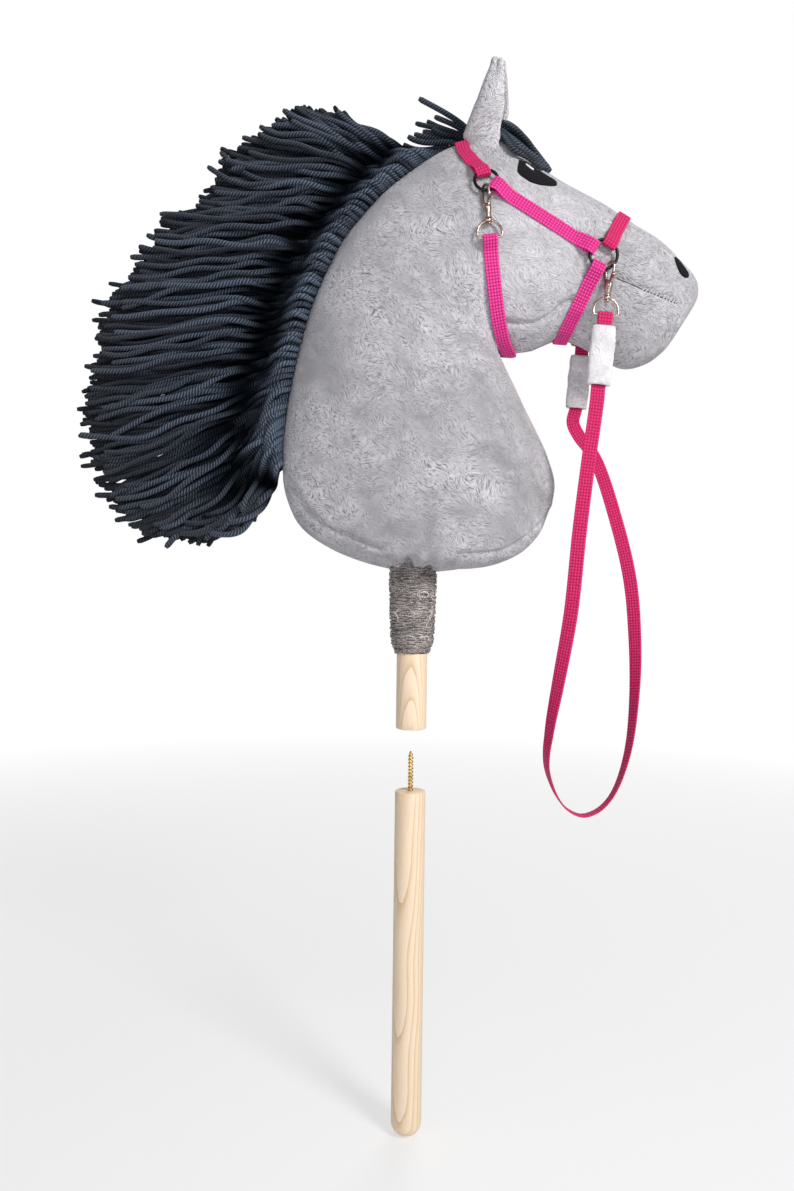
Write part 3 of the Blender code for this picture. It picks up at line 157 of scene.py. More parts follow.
def flatCurve(outline, steps):
    return smoothCurve([(*point, 0.0) for point in outline], steps)[:, :2]


def runLengths(points):
    return np.r_[0, np.cumsum(np.linalg.norm(np.diff(points, axis=0), axis=1))]


def valueAt(distance, lengths, rows):
    return np.array([np.interp(distance, lengths, column) for column in rows.T])


def circleTurns(around):
    return [2 * math.pi * k / around for k in range(around)]


def bulged(value, power):
    return math.copysign(abs(value) ** power, value)


# Material nodes

def newMaterial(name):
    material = bpy.data.materials.new(name)
    material.use_nodes = True
    return material, material.node_tree, material.node_tree.nodes["Principled BSDF"]


def feed(tree, node, inputs):
    for key, value in inputs.items():
        socket = node.inputs[key]
        if isinstance(value, bpy.types.NodeSocket):
            tree.links.new(value, socket)
        elif socket.type == "RGBA" and len(value) == 3:
            socket.default_value = (*value, 1.0)
        else:
            socket.default_value = value
    return node


def addNode(tree, kind, inputs=None, **settings):
    node = tree.nodes.new(kind)
    for key, value in settings.items():
        setattr(node, key, value)
    return feed(tree, node, inputs or {})


def objectPoint(tree):
    return addNode(tree, "ShaderNodeTexCoord").outputs["Object"]


def noiseNode(tree, vector, scale, detail=2.0, rough=0.5, output="Fac"):
    return addNode(tree, "ShaderNodeTexNoise", {
        "Vector": vector, "Scale": scale, "Detail": detail, "Roughness": rough}).outputs[output]


def stretched(tree, vector, scale):
    return addNode(tree, "ShaderNodeMapping", {"Vector": vector, "Scale": scale}).outputs["Vector"]


def parted(tree, vector, axis):
    return addNode(tree, "ShaderNodeSeparateXYZ", {"Vector": vector}).outputs[axis]


def mathNode(tree, operation, first, second=0.0):
    return addNode(tree, "ShaderNodeMath", {0: first, 1: second}, operation=operation).outputs[0]


def product(tree, *values):
    result = values[0]
    for value in values[1:]:
        result = mathNode(tree, "MULTIPLY", result, value)
    return result


def weighted(tree, *terms):
    # The sum of node values, each times its weight
    result = None
    for value, weight in terms:
        part = value if weight == 1 else mathNode(tree, "MULTIPLY", value, weight)
        result = part if result is None else mathNode(tree, "ADD", result, part)
    return result


def vectorNode(tree, operation, inputs, output="Vector"):
    return addNode(tree, "ShaderNodeVectorMath", inputs, operation=operation).outputs[output]


def rampNode(tree, factor, *stops):
    node = addNode(tree, "ShaderNodeValToRGB", {"Fac": factor})
    ramp = node.color_ramp
    while len(ramp.elements) < len(stops):
        ramp.elements.new(0.5)
    for element, (place, colour) in zip(ramp.elements, stops):
        element.position = place
        element.color = (*colour, 1.0)
    return node.outputs["Color"]


def spanNode(tree, value, low, high, outLow=0.0, outHigh=1.0):
    return addNode(tree, "ShaderNodeMapRange", {
        "Value": value, "From Min": low, "From Max": high, "To Min": outLow, "To Max": outHigh},
        clamp=True).outputs["Result"]


def mixColours(tree, factor, first, second):
    return addNode(tree, "ShaderNodeMix", {0: factor, 6: first, 7: second}, data_type="RGBA").outputs[2]


def bumpNode(tree, height, strength, distance):
    return addNode(tree, "ShaderNodeBump", {
        "Height": height, "Strength": strength, "Distance": distance}).outputs["Normal"]


def attributeValue(tree, name):
    return addNode(tree, "ShaderNodeAttribute", attribute_name=name).outputs["Fac"]


def seenBy(tree, *kinds):
    rays = addNode(tree, "ShaderNodeLightPath").outputs
    result = rays[f"Is {kinds[0]} Ray"]
    for kind in kinds[1:]:
        result = mathNode(tree, "MAXIMUM", result, rays[f"Is {kind} Ray"])
    return result


# Camera, floor and light come first

cameraPlan = {"across": -0.0145, "distance": 0.764, "height": 0.1222, "roll": 0.0129,
              "focalPixels": 830, "framePixels": 1191, "sensor": 36.0, "nearest": 0.01}
floorPlan = {"size": 30.0, "drop": 0.0005, "colour": (0.86, 0.86, 0.86), "whiteNear": 0.55,
             "fade": (0.5, 2.2)}
lampAim = (-0.01, 0.0, 0.28)
lampPlan = {
    "key": {"place": (1.00, -1.20, 1.00), "size": 0.6, "power": 26.3, "colour": (1.0, 0.985, 0.97)},
    "left": {"place": (-1.25, -1.05, 0.75), "size": 1.2, "power": 2.6, "colour": (0.97, 0.97, 1.0)},
    "front": {"place": (-0.12, -1.60, 0.12), "size": 1.0, "power": 6.6, "colour": (1.0, 1.0, 1.0)},
    "rim": {"place": (0.35, 1.2, 1.2), "size": 1.0, "power": 9.0, "colour": (1.0, 1.0, 1.0)},
}
worldLight = {"colour": (0.95, 0.95, 1.0), "strength": 0.24}
white = (1.0, 1.0, 1.0)


def makeCamera(plan):
    data = bpy.data.cameras.new("camera")
    data.sensor_width = plan["sensor"]
    data.lens = plan["focalPixels"] / plan["framePixels"] * plan["sensor"]
    data.clip_start = plan["nearest"]
    roll = plan["roll"]
    matrix = Matrix((Vector((1, 0, roll)).normalized(), Vector((-roll, 0, 1)).normalized(),
                     (0, -1, 0))).transposed().to_4x4()
    matrix.translation = Vector((plan["across"], -plan["distance"], plan["height"]))
    camera = linked("camera", data)
    camera.matrix_world = matrix
    scene.camera = camera


def makeFloor(plan):
    half = plan["size"] / 2
    low = cadBox[0][2] - plan["drop"]
    mesh = bpy.data.meshes.new("floor")
    corners = ((-half, -half), (half, -half), (half, half), (-half, half))
    mesh.from_pydata([(x, y, low) for x, y in corners], [], [(0, 1, 2, 3)])
    material, tree, shader = newMaterial("floorWhite")
    tree.nodes.remove(shader)
    far = vectorNode(tree, "LENGTH", {0: objectPoint(tree)}, "Value")
    share = product(tree, spanNode(tree, far, *plan["fade"], plan["whiteNear"], 1.0),
                    seenBy(tree, "Camera", "Glossy", "Transmission"))
    diffuse = addNode(tree, "ShaderNodeBsdfDiffuse", {"Color": plan["colour"]})
    glow = addNode(tree, "ShaderNodeEmission", {"Color": white, "Strength": 1.0})
    mix = addNode(tree, "ShaderNodeMixShader", {
        "Fac": share, 1: diffuse.outputs["BSDF"], 2: glow.outputs["Emission"]})
    feed(tree, tree.nodes["Material Output"], {"Surface": mix.outputs["Shader"]})
    mesh.materials.append(material)
    linked("floor", mesh)


def makeLamps(plan):
    for name, lamp in plan.items():
        data = bpy.data.lights.new(name, "AREA")
        data.shape = "DISK"
        data.size = lamp["size"]
        data.energy = lamp["power"]
        data.color = lamp["colour"]
        obj = linked(name + "Lamp", data)
        obj.location = lamp["place"]
        obj.rotation_mode = "QUATERNION"
        obj.rotation_quaternion = (Vector(lampAim) - obj.location).to_track_quat("-Z", "Y")


def makeWorld(plan):
    world = bpy.data.worlds.new("studio")
    world.use_nodes = True
    scene.world = world
    tree = world.node_tree
    tree.nodes.clear()
    soft = addNode(tree, "ShaderNodeBackground", {"Color": plan["colour"], "Strength": plan["strength"]})
    plain = addNode(tree, "ShaderNodeBackground", {"Color": white, "Strength": 1.0})
    mix = addNode(tree, "ShaderNodeMixShader", {
        "Fac": seenBy(tree, "Camera", "Transmission"), 1: soft.outputs["Background"],
        2: plain.outputs["Background"]})
    addNode(tree, "ShaderNodeOutputWorld", {"Surface": mix.outputs["Shader"]})


makeCamera(cameraPlan)
makeFloor(floorPlan)
makeLamps(lampPlan)
makeWorld(worldLight)
scene.view_settings.view_transform = "Standard"
print("camera, floor and light are in place")


# Webbing: woven pink tape, with its weave in the mesh

webbingPlan = {"width": 0.0125, "thickness": 0.0014, "step": 0.00052, "columns": 19, "cell": 0.0027,
               "cellsAcross": 5, "relief": 0.00024, "edge": 0.45}


def webbingMaterial(name, low, high, glint):
    material, tree, shader = newMaterial(name)
    uv = addNode(tree, "ShaderNodeUVMap", uv_map="weave").outputs["UV"]
    across = parted(tree, uv, "X")
    rhythms = ((across, math.pi * webbingPlan["cellsAcross"]),
               (parted(tree, uv, "Y"), math.pi / webbingPlan["cell"]))
    waves = [mathNode(tree, "ABSOLUTE", mathNode(tree, "SINE", product(tree, value, times)))
             for value, times in rhythms]
    fibres = noiseNode(tree, stretched(tree, uv, (90.0, 900.0, 1.0)), 6.0, 3.0)
    fromMiddle = mathNode(tree, "ABSOLUTE", mathNode(tree, "SUBTRACT", across, 0.5))
    # Painted highlight and shade: the cells are lighter on their tops, up to a glint, and darker in the gaps,
    # and both edges of the tape are painted lighter
    level = weighted(tree, (product(tree, *waves), 0.80), (fibres, 0.40),
                     (spanNode(tree, fromMiddle, 0.42, 0.49, 0.0, 0.35), 1))
    wear = product(tree, noiseNode(tree, objectPoint(tree), 40.0), 0.16)
    worn = tuple(0.85 * value + 0.05 for value in high)
    colour = rampNode(tree, level, (0.16, low), (0.52, high), (0.90, glint))
    feed(tree, shader, {
        "Base Color": mixColours(tree, wear, colour, worn),
        "Roughness": spanNode(tree, fibres, 0.2, 0.8, 0.42, 0.68),
        "Normal": bumpNode(tree, level, 0.8, 0.0008),
        "Specular IOR Level": 0.3, "Sheen Weight": 0.12, "Sheen Tint": (1.0, 0.35, 0.75),
        "Sheen Roughness": 0.4})
    return material


pinkWeave = webbingMaterial("pinkWebbing", (0.37, 0.002, 0.10), (0.77, 0.013, 0.25), (0.87, 0.095, 0.40))
# Painted shade: a darker, redder copy of the same webbing, for the crown, nose and rein straps
shadedWeave = webbingMaterial("shadedWebbing", (0.31, 0.001, 0.046), (0.65, 0.006, 0.118),
                              (0.77, 0.028, 0.19))


def webbingMesh(name, centres, widths):
    plan = webbingPlan
    count = max(4, round(runLengths(np.array(centres))[-1] / plan["step"]))
    rows = smoothCurve(np.column_stack([centres, widths]), count)
    points, across = rows[:, :3], rows[:, 3:6]
    tangents = np.gradient(points, axis=0)
    tangents /= np.linalg.norm(tangents, axis=1)[:, None]
    across = across - tangents * np.sum(across * tangents, axis=1)[:, None]
    across /= np.linalg.norm(across, axis=1)[:, None]
    ups = np.cross(across, tangents)
    lengths = runLengths(points)
    columns = plan["columns"]
    shares = np.linspace(-1, 1, columns)
    edge = 1 - plan["edge"] * np.abs(shares) ** 6
    ribs = np.abs(np.sin(math.pi * (shares + 1) / 2 * plan["cellsAcross"]))
    grid, uvs = [], []
    for side in (1, -1):
        for k in range(columns)[::side]:
            rib = np.abs(np.sin(math.pi * lengths / plan["cell"])) * ribs[k] - 0.5
            height = plan["thickness"] / 2 * edge[k] + plan["relief"] * rib
            grid.append(points + across * (shares[k] * plan["width"] / 2) + ups * (side * height)[:, None])
            uvs.append(np.column_stack([np.full(count, (shares[k] + 1) / 2), lengths]))
    size = len(grid)
    vertices = np.array(grid).transpose(1, 0, 2).reshape(-1, 3)
    corners = np.array(uvs).transpose(1, 0, 2).reshape(-1, 2)
    faces = ringFaces(count, size)
    for first in (0, (count - 1) * size):
        for k in range(columns - 1):
            a, b = first + k, first + size - 1 - k
            faces.append((a, a + 1, b - 1, b))
    mesh = bpy.data.meshes.new(name)
    mesh.from_pydata(vertices.tolist(), [], faces)
    turnOut(mesh)
    layer = mesh.uv_layers.new(name="weave")
    index = np.empty(len(mesh.loops), np.int32)
    mesh.loops.foreach_get("vertex_index", index)
    layer.data.foreach_set("uv", corners[index].astype(np.float32).ravel())
    mesh.shade_smooth()
    return mesh


def ringFaces(count, size, split=False):
    faces = []
    for i in range(count - 1):
        for k in range(size):
            a, b = i * size + k, i * size + (k + 1) % size
            if not split:
                faces.append((a, b, b + size, a + size))
            elif k < size // 2:
                faces += [(a, b, b + size), (a, b + size, a + size)]
            else:
                faces += [(a, b, a + size), (b, b + size, a + size)]
    return faces


def capFaces(count, size):
    return [tuple(range(size)), tuple((count - 1) * size + k for k in range(size))]


# Reins: one loop of webbing from hook to hook, with fleece sleeves at both ends

reinPlan = {
    "barDrop": 0.0417, "wire": 0.0011, "gap": 0.0003, "doubled": 0.046, "free": 0.008, "close": 0.012,
    "straight": (0.0, 0.02, 0.04, 0.06, 0.08), "steps": 64, "exitDrop": 0.012, "foldSteps": 8,
    "pathSteps": 220,
    "route": [
        (0.1500, -0.0440, 0.240, 0), (0.1440, -0.0400, 0.180, 8), (0.1390, -0.0330, 0.110, 22),
        (0.1310, -0.0240, 0.050, 40), (0.1245, -0.0140, 0.000, 62), (0.1245, -0.0060, -0.035, 78),
        (0.1400, -0.0010, -0.068, 90), (0.1620, 0.0000, -0.078, 90), (0.1850, 0.0010, -0.061, 90),
        (0.2010, 0.0060, -0.022, 78), (0.2090, 0.0140, 0.028, 62), (0.2120, 0.0240, 0.080, 40),
        (0.2090, 0.0330, 0.140, 22), (0.1960, 0.0400, 0.200, 8), (0.1780, 0.0440, 0.255, 0),
    ],
}
coverPlan = {"start": 0.010, "length": 0.051, "width": 0.0215, "depth": 0.0090, "rows": 30, "around": 44,
             "inner": 0.62, "plump": 0.10, "corners": (0.75, 0.85), "lumps": ((160, 0.0006), (620, 0.0004))}
strapClose = (webbingPlan["thickness"] + reinPlan["gap"]) / 2


def reinBar(side):
    name = dict(sides)[side]
    origin = jointPlace(f"rein_hook_{name}_swivel")
    up = unit(jointAxis(f"rein_hook_{name}_swivel"))
    return origin - up * reinPlan["barDrop"], -up, np.array([0.0, side, 0.0])


def reinLine():
    plan = reinPlan
    bars = [reinBar(side) for side, _ in sides]
    ends = [[[*(centre + down * d), 0] for d in plan["straight"]] for centre, down, _ in bars]
    route = smoothCurve(ends[0] + [list(row) for row in plan["route"]] + ends[1][::-1], plan["steps"])
    far = plan["doubled"] + plan["free"]
    inside = [row for row in route if min(np.linalg.norm(row[:3] - bar[0]) for bar in bars) > far]
    points, widths = [], []
    for index, (centre, down, out) in enumerate(bars):
        run = [centre + down * d + out * strapClose
               for d in (plan["exitDrop"], plan["doubled"] * 0.5, plan["doubled"])]
        cross = np.cross(out, -down) * (-1 if index else 1)
        if index:
            run = run[::-1]
            for row in inside:
                angle = math.radians(row[3])
                points.append(row[:3])
                widths.append((-math.cos(angle), math.sin(angle), 0))
        points += run
        widths += [cross] * len(run)
    return np.array(points), np.array(widths)


def reinFold(side):
    plan = reinPlan
    centre, down, out = reinBar(side)
    offset = plan["wire"] + plan["gap"] + webbingPlan["thickness"] / 2
    points = [centre + down * distance - out * strapClose for distance in (plan["doubled"], plan["close"])]
    for angle in np.linspace(-math.pi / 2, math.pi / 2, plan["foldSteps"] + 1):
        points.append(centre - down * offset * math.cos(angle) + out * offset * math.sin(angle))
    points.append(centre + down * (plan["close"] + 0.0005) + out * strapClose)
    return webbingMesh("fold", points, [np.cross(out, -down)] * len(points))


def sleeveMesh(side):
    plan = coverPlan
    centre, down, out = reinBar(side)
    across = np.cross(out, -down)
    rows, around = plan["rows"], plan["around"]
    rings = []
    for outside in (True, False):
        for i in range(rows)[::1 if outside else -1]:
            share = i / (rows - 1)
            middle = centre + down * (plan["start"] + plan["length"] * share)
            plump = 1 - plan["plump"] + plan["plump"] * clipped(math.sin(math.pi * share)) ** 0.5
            for turn in circleTurns(around):
                a, b = (bulged(value, power) for value, power in zip(
                    (math.cos(turn), math.sin(turn)), plan["corners"]))
                spot = middle + across * a * plan["width"] / 2 * plump + out * b * plan["depth"] / 2 * plump
                if outside:
                    lump = sum(noise.noise(Vector(spot) * scale) * high for scale, high in plan["lumps"])
                    spot = spot + (across * math.cos(turn) + out * math.sin(turn)) * lump
                else:
                    spot = middle + (spot - middle) * plan["inner"]
                rings.append(spot)
    count = 2 * rows
    faces = ringFaces(count, around)
    last = (count - 1) * around
    faces += [(last + k, last + (k + 1) % around, (k + 1) % around, k) for k in range(around)]
    return meshFrom("sleeve", rings, faces)


# Fleece and plush: short pile that lies two ways, duller in random places, with painted light on the head and
# a cheek patch

fleecePlan = {"lays": (-48, -8), "stretch": (250.0, 420.0, 1250.0), "litHead": (0.24, 0.35, 1.0, 0.30),
              "pale": {"place": (0.095, 0.0, 0.435), "span": (0.045, 0.085, 0.36, 0.0), "times": 1.35},
              "middle": 0.62, "dullAndShade": 0.55, "depth": 0.0021}


def fleeceMaterial(name, low, high, scale=1.0, sheen=0.45, shade=0.42):
    plan = fleecePlan
    material, tree, shader = newMaterial(name)
    point = objectPoint(tree)
    swirl = noiseNode(tree, point, 30.0 * scale, output="Color")
    pull = vectorNode(tree, "SUBTRACT", {0: swirl, 1: (0.5, 0.5, 0.5)})
    pull = vectorNode(tree, "SCALE", {0: pull, "Scale": 0.034 / scale})
    warped = vectorNode(tree, "ADD", {0: point, 1: pull})
    lays = []
    for degrees in plan["lays"]:
        lay = addNode(tree, "ShaderNodeMapping",
                      {"Vector": warped, "Rotation": (0, math.radians(degrees), 0)})
        lays.append(noiseNode(tree, stretched(tree, lay.outputs["Vector"], plan["stretch"]), scale))
    share = spanNode(tree, noiseNode(tree, point, 34.0 * scale, 1.0), 0.42, 0.58)
    strokes = addNode(tree, "ShaderNodeMix", {0: share, 2: lays[0], 3: lays[1]}, data_type="FLOAT").outputs[0]
    fluff = noiseNode(tree, point, 1500.0 * scale)
    between = tuple((1 - plan["middle"]) * a + plan["middle"] * b for a, b in zip(low, high))
    colour = rampNode(tree, strokes, (0.35, low), (0.46, between), (0.61, high))
    # Painted light: the dulling is weaker on the head, so the head is painted lighter than the neck
    ahead = weighted(tree, (parted(tree, point, "X"), 1), (parted(tree, point, "Z"), 0.6))
    dullAndShade = spanNode(tree, noiseNode(tree, point, 15.0, 3.0, 0.55), 0.40, 0.60, shade, 0.0)
    dullAndShade = product(tree, dullAndShade, spanNode(tree, ahead, *plan["litHead"]))
    colour = mixColours(tree, dullAndShade, colour, tuple(plan["dullAndShade"] * value for value in high))
    # Painted light: a round patch on the cheek is painted lighter
    pale = plan["pale"]
    away = vectorNode(tree, "DISTANCE", {0: point, 1: pale["place"]}, "Value")
    colour = mixColours(tree, spanNode(tree, away, *pale["span"]), colour,
                        tuple(min(1.0, pale["times"] * value) for value in high))
    feed(tree, shader, {
        "Base Color": colour, "Roughness": spanNode(tree, fluff, 0.3, 0.7, 0.85, 1.0),
        "Normal": bumpNode(tree, weighted(tree, (strokes, 1), (fluff, 0.35)), 1.0, plan["depth"] / scale),
        "Specular IOR Level": 0.15, "Sheen Weight": sheen, "Sheen Roughness": 0.55})
    return material


whiteFleece = fleeceMaterial("whiteFleece", (0.68, 0.66, 0.70), (0.93, 0.91, 0.94), 1.6, 0.3, 0.08)


def makeReins():
    points, widths = reinLine()
    # The reins take the shaded copy of the webbing: painted shade
    strap = addPiece("reinStrap", webbingMesh("rein", points, widths), shadedWeave, "reins", "webbing",
                     "rein_strap")
    for side, name in sides:
        addPiece(f"reinFold_{name}", reinFold(side), shadedWeave, "reins", "webbing")
        addPiece(f"reinSleeve_{name}", sleeveMesh(side), whiteFleece, "reins", "sleeve_white",
                               f"rein_sleeve_{name}")


makeReins()
print("reins hang from both hooks")


# Plush skin: each station has its top and low point, half width, sag and how sharp its ridge is

skinPlan = {
    "stations": [
        ((-0.056, 0.156), (0.063, 0.149), 0.040, 0.002, 1.0),
        ((-0.084, 0.169), (0.094, 0.161), 0.049, 0.010, 1.0),
        ((-0.103, 0.185), (0.112, 0.178), 0.052, 0.020, 1.0),
        ((-0.114, 0.207), (0.123, 0.200), 0.055, 0.030, 1.0),
        ((-0.120, 0.233), (0.129, 0.227), 0.057, 0.027, 1.05),
        ((-0.121, 0.264), (0.123, 0.252), 0.057, 0.018, 1.1),
        ((-0.116, 0.304), (0.110, 0.277), 0.056, 0.009, 1.15),
        ((-0.107, 0.349), (0.097, 0.303), 0.054, 0.004, 1.2),
        ((-0.091, 0.402), (0.086, 0.325), 0.052, 0.0, 1.2),
        ((-0.067, 0.449), (0.078, 0.341), 0.051, 0.0, 1.2),
        ((-0.035, 0.487), (0.075, 0.347), 0.050, 0.0, 1.2), ((0.000, 0.517), (0.077, 0.349), 0.049, 0.0, 1.2),
        ((0.029, 0.535), (0.081, 0.348), 0.049, 0.0, 1.2), ((0.056, 0.543), (0.086, 0.347), 0.049, 0.0, 1.2),
        ((0.079, 0.540), (0.092, 0.346), 0.049, 0.0, 1.2),
        ((0.1023, 0.5228), (0.099, 0.347), 0.048, 0.0, 1.2),
        ((0.1257, 0.5060), (0.107, 0.349), 0.047, 0.0, 1.2),
        ((0.1476, 0.4937), (0.117, 0.354), 0.045, 0.0, 1.15),
        ((0.1666, 0.4835), (0.129, 0.359), 0.043, 0.0, 1.1),
        ((0.1826, 0.4745), (0.143, 0.358), 0.041, 0.0, 1.1),
        ((0.2004, 0.4634), (0.160, 0.350), 0.040, 0.0, 1.05),
        ((0.2163, 0.4533), (0.177, 0.340), 0.0395, 0.0, 1.0),
        ((0.2292, 0.4424), (0.195, 0.334), 0.0385, 0.0, 1.0),
        ((0.2396, 0.4312), (0.214, 0.339), 0.035, 0.0, 1.0),
        ((0.2482, 0.4219), (0.228, 0.350), 0.030, 0.0, 1.0),
        ((0.2545, 0.412), (0.239, 0.366), 0.022, 0.0, 1.0),
        ((0.256, 0.401), (0.247, 0.380), 0.012, 0.0, 1.0), ((0.2545, 0.394), (0.251, 0.387), 0.002, 0.0, 1.0),
    ],
    "holeRadius": 0.0168, "holeHeight": 0.1485, "coarseHalf": 8, "fineHalf": 52, "rowStep": 0.0036,
    "lump": 0.0017, "lumpScale": 21.0, "seamDepth": 0.0016, "crestSeam": 0.0016, "sideFrom": 0.006,
    "welt": {"high": 0.0007, "away": 0.006, "wide": 0.004}, "openEdge": 0.004,
    "jawSeam": [(0.0764, 0.3670), (0.0900, 0.3655), (0.1037, 0.3662), (0.1170, 0.3715), (0.1255, 0.3794),
                (0.1359, 0.3845)],
    "mouth": [(0.172, 0.404), (0.179, 0.400), (0.187, 0.397), (0.201, 0.391), (0.214, 0.387), (0.229, 0.383)],
    "baseSeams": ([(-0.113, 0.222), (-0.103, 0.209), (-0.0925, 0.194), (-0.0755, 0.181), (-0.0505, 0.170),
                   (-0.030, 0.162)],
                  [(0.040, 0.158), (0.0735, 0.1615), (0.0975, 0.174), (0.115, 0.189), (0.123, 0.201)]),
    # Times the seam depth, and the width of each
    "jawGroove": (2.2, 0.0014), "mouthGroove": (1.9, 0.0021), "baseGroove": (1.5, 0.0020),
    "folds": 17, "foldDepth": 0.0026, "foldReach": 0.050, "foldFrom": 0.016,
    "foldFade": 0.006, "foldTop": 0.23,
    # Two deep folds over the binding: middle, lean, width and depth
    "deepFolds": ((-0.004, 0.35, 0.0055, 0.0042), (0.012, -0.10, 0.005, 0.0026)), "deepFoldHeight": 0.150,
}
puffPlan = {"cap": 0.0030, "pressure": 4.0, "voxel": 0.0055, "seam": 0.0035, "stickReach": 0.03,
            "stickTop": 0.175, "quality": 4, "frames": 20, "keepFrom": 0.005, "keepOver": 0.020}


def section(station, steps):
    (topX, topZ), (lowX, lowZ), half, sag, ridge = station
    points = []
    for j in range(steps + 1):
        angle = math.pi * j / steps
        along = (1 - math.cos(angle)) / 2
        side = abs(math.sin(angle))
        points.append((topX + (lowX - topX) * along, -half * side ** ridge if 0 < j < steps else 0.0,
                       topZ + (lowZ - topZ) * along - sag * side))
    return points


def fullRing(row):
    return np.vstack([row, row[1:-1][::-1] * np.array([1.0, -1.0, 1.0])])


def skinRows(steps):
    reach, height = skinPlan["holeRadius"], skinPlan["holeHeight"]
    hole = ((-reach, height), (reach, height), reach, 0.0, 1.0)
    return np.array([section(station, steps) for station in [hole] + skinPlan["stations"]])


def surfaceTree(points, faces):
    return BVHTree.FromPolygons([Vector(point) for point in points], faces)


coarseRings = [fullRing(row) for row in skinRows(skinPlan["coarseHalf"])]
coarseSkin = surfaceTree(np.vstack(coarseRings), ringFaces(len(coarseRings), len(coarseRings[0]), True))


def fineSkin():
    rows = skinRows(skinPlan["fineHalf"])
    ends = np.concatenate([[2 * rows[0] - rows[1]], rows, [2 * rows[-1] - rows[-2]]])
    dense = []
    for i in range(1, len(ends) - 2):
        span = np.linalg.norm(ends[i + 1] - ends[i], axis=1).max()
        # The first span, round the stick, has twice the rows
        count = max(1, math.ceil(span / skinPlan["rowStep"])) * (2 if i == 1 else 1)
        dense += [splinePoint(*ends[i - 1:i + 3], t) for t in np.arange(count) / count]
    return np.array([fullRing(row) for row in dense + [rows[-1]]])


def gridNormals(grid):
    after = np.roll(grid, -1, axis=1) - np.roll(grid, 1, axis=1)
    normals = np.cross(np.gradient(grid, axis=0), after)
    normals /= np.maximum(np.linalg.norm(normals, axis=2), 1e-12)[:, :, None]
    middle = grid.mean(axis=1, keepdims=True)
    return normals * np.sign(np.sum((grid - middle) * normals, axis=2).mean())


def lineDistance(grid, line):
    flat = grid[:, :, [0, 2]]
    least = np.full(flat.shape[:2], np.inf)
    line = flatCurve(line, 40)
    for a, b in zip(line[:-1], line[1:]):
        share = np.clip(((flat - a) @ (b - a)) / np.dot(b - a, b - a), 0, 1)
        near = a + share[:, :, None] * (b - a)
        least = np.minimum(least, np.linalg.norm(flat - near, axis=2))
    return least


def bell(values, wide):
    return np.exp(-(values / wide) ** 2)


def remeshed(mesh, voxel):
    obj = linked("work", mesh)
    modifier = obj.modifiers.new("remesh", "REMESH")
    modifier.mode = "VOXEL"
    modifier.voxel_size = voxel
    made = evaluatedMesh(obj)
    bpy.data.objects.remove(obj, do_unlink=True)
    return made


def meshPoints(mesh):
    return np.array([vertex.co for vertex in mesh.vertices])


def puffed(grid):
    # Stuffing swells an even copy of the skin as cloth, and the fine grid takes over its push
    plan = puffPlan
    count, size = grid.shape[:2]
    mesh = meshFrom("stuffed", grid.reshape(-1, 3), ringFaces(count, size) + capFaces(count, size))
    mesh = remeshed(mesh, plan["voxel"])
    rest = meshPoints(mesh)
    cloth = linked("cloth", mesh)
    held = cloth.vertex_groups.new(name="held")
    for index, (x, y, z) in enumerate(rest):
        nearStick = math.hypot(x, y) < plan["stickReach"] and z < plan["stickTop"]
        if abs(y) < plan["seam"] or nearStick:
            held.add([index], 1.0, "REPLACE")
    settings = cloth.modifiers.new("cloth", "CLOTH").settings
    settings.use_pressure = True
    settings.uniform_pressure_force = plan["pressure"]
    settings.effector_weights.gravity = 0.0
    settings.vertex_group_mass = "held"
    settings.quality = plan["quality"]
    for step in range(plan["frames"]):
        scene.frame_set(step + 1)
    push = meshPoints(evaluatedMesh(cloth)) - rest
    scene.frame_set(1)
    far = np.linalg.norm(push, axis=1)
    push *= (np.minimum(far, plan["cap"]) / np.maximum(far, 1e-9))[:, None]
    polygons = [tuple(polygon.vertices) for polygon in mesh.polygons]
    tree = surfaceTree(rest, polygons)
    flat = grid.reshape(-1, 3)
    shift = np.zeros_like(flat)
    for index, point in enumerate(flat):
        corners = list(polygons[tree.find_nearest(Vector(point))[2]])
        weights = 1.0 / (np.linalg.norm(rest[corners] - point, axis=1) + 1e-4)
        shift[index] = (push[corners] * weights[:, None]).sum(axis=0) / weights.sum()
    bpy.data.objects.remove(cloth, do_unlink=True)
    most = 1000 * float(np.linalg.norm(shift, axis=1).max())
    print("stuffing swelled the skin by up to", round(most, 1), "mm")
    # The crest and throat seams keep their line
    keep = np.clip((np.abs(grid[:, :, 1]) - plan["keepFrom"]) / plan["keepOver"], 0, 1)[:, :, None]
    return grid + shift.reshape(grid.shape) * keep


def denser(grid):
    wide = np.empty((grid.shape[0], grid.shape[1] * 2, 3))
    wide[:, 0::2], wide[:, 1::2] = grid, (grid + np.roll(grid, -1, axis=1)) / 2
    tall = np.empty((grid.shape[0] * 2 - 1, wide.shape[1], 3))
    tall[0::2], tall[1::2] = wide, (wide[:-1] + wide[1:]) / 2
    tall = tall * 0.5 + (np.roll(tall, 1, axis=1) + np.roll(tall, -1, axis=1)) / 4
    tall[1:-1] = tall[1:-1] * 0.5 + (tall[:-2] + tall[2:]) / 4
    return tall


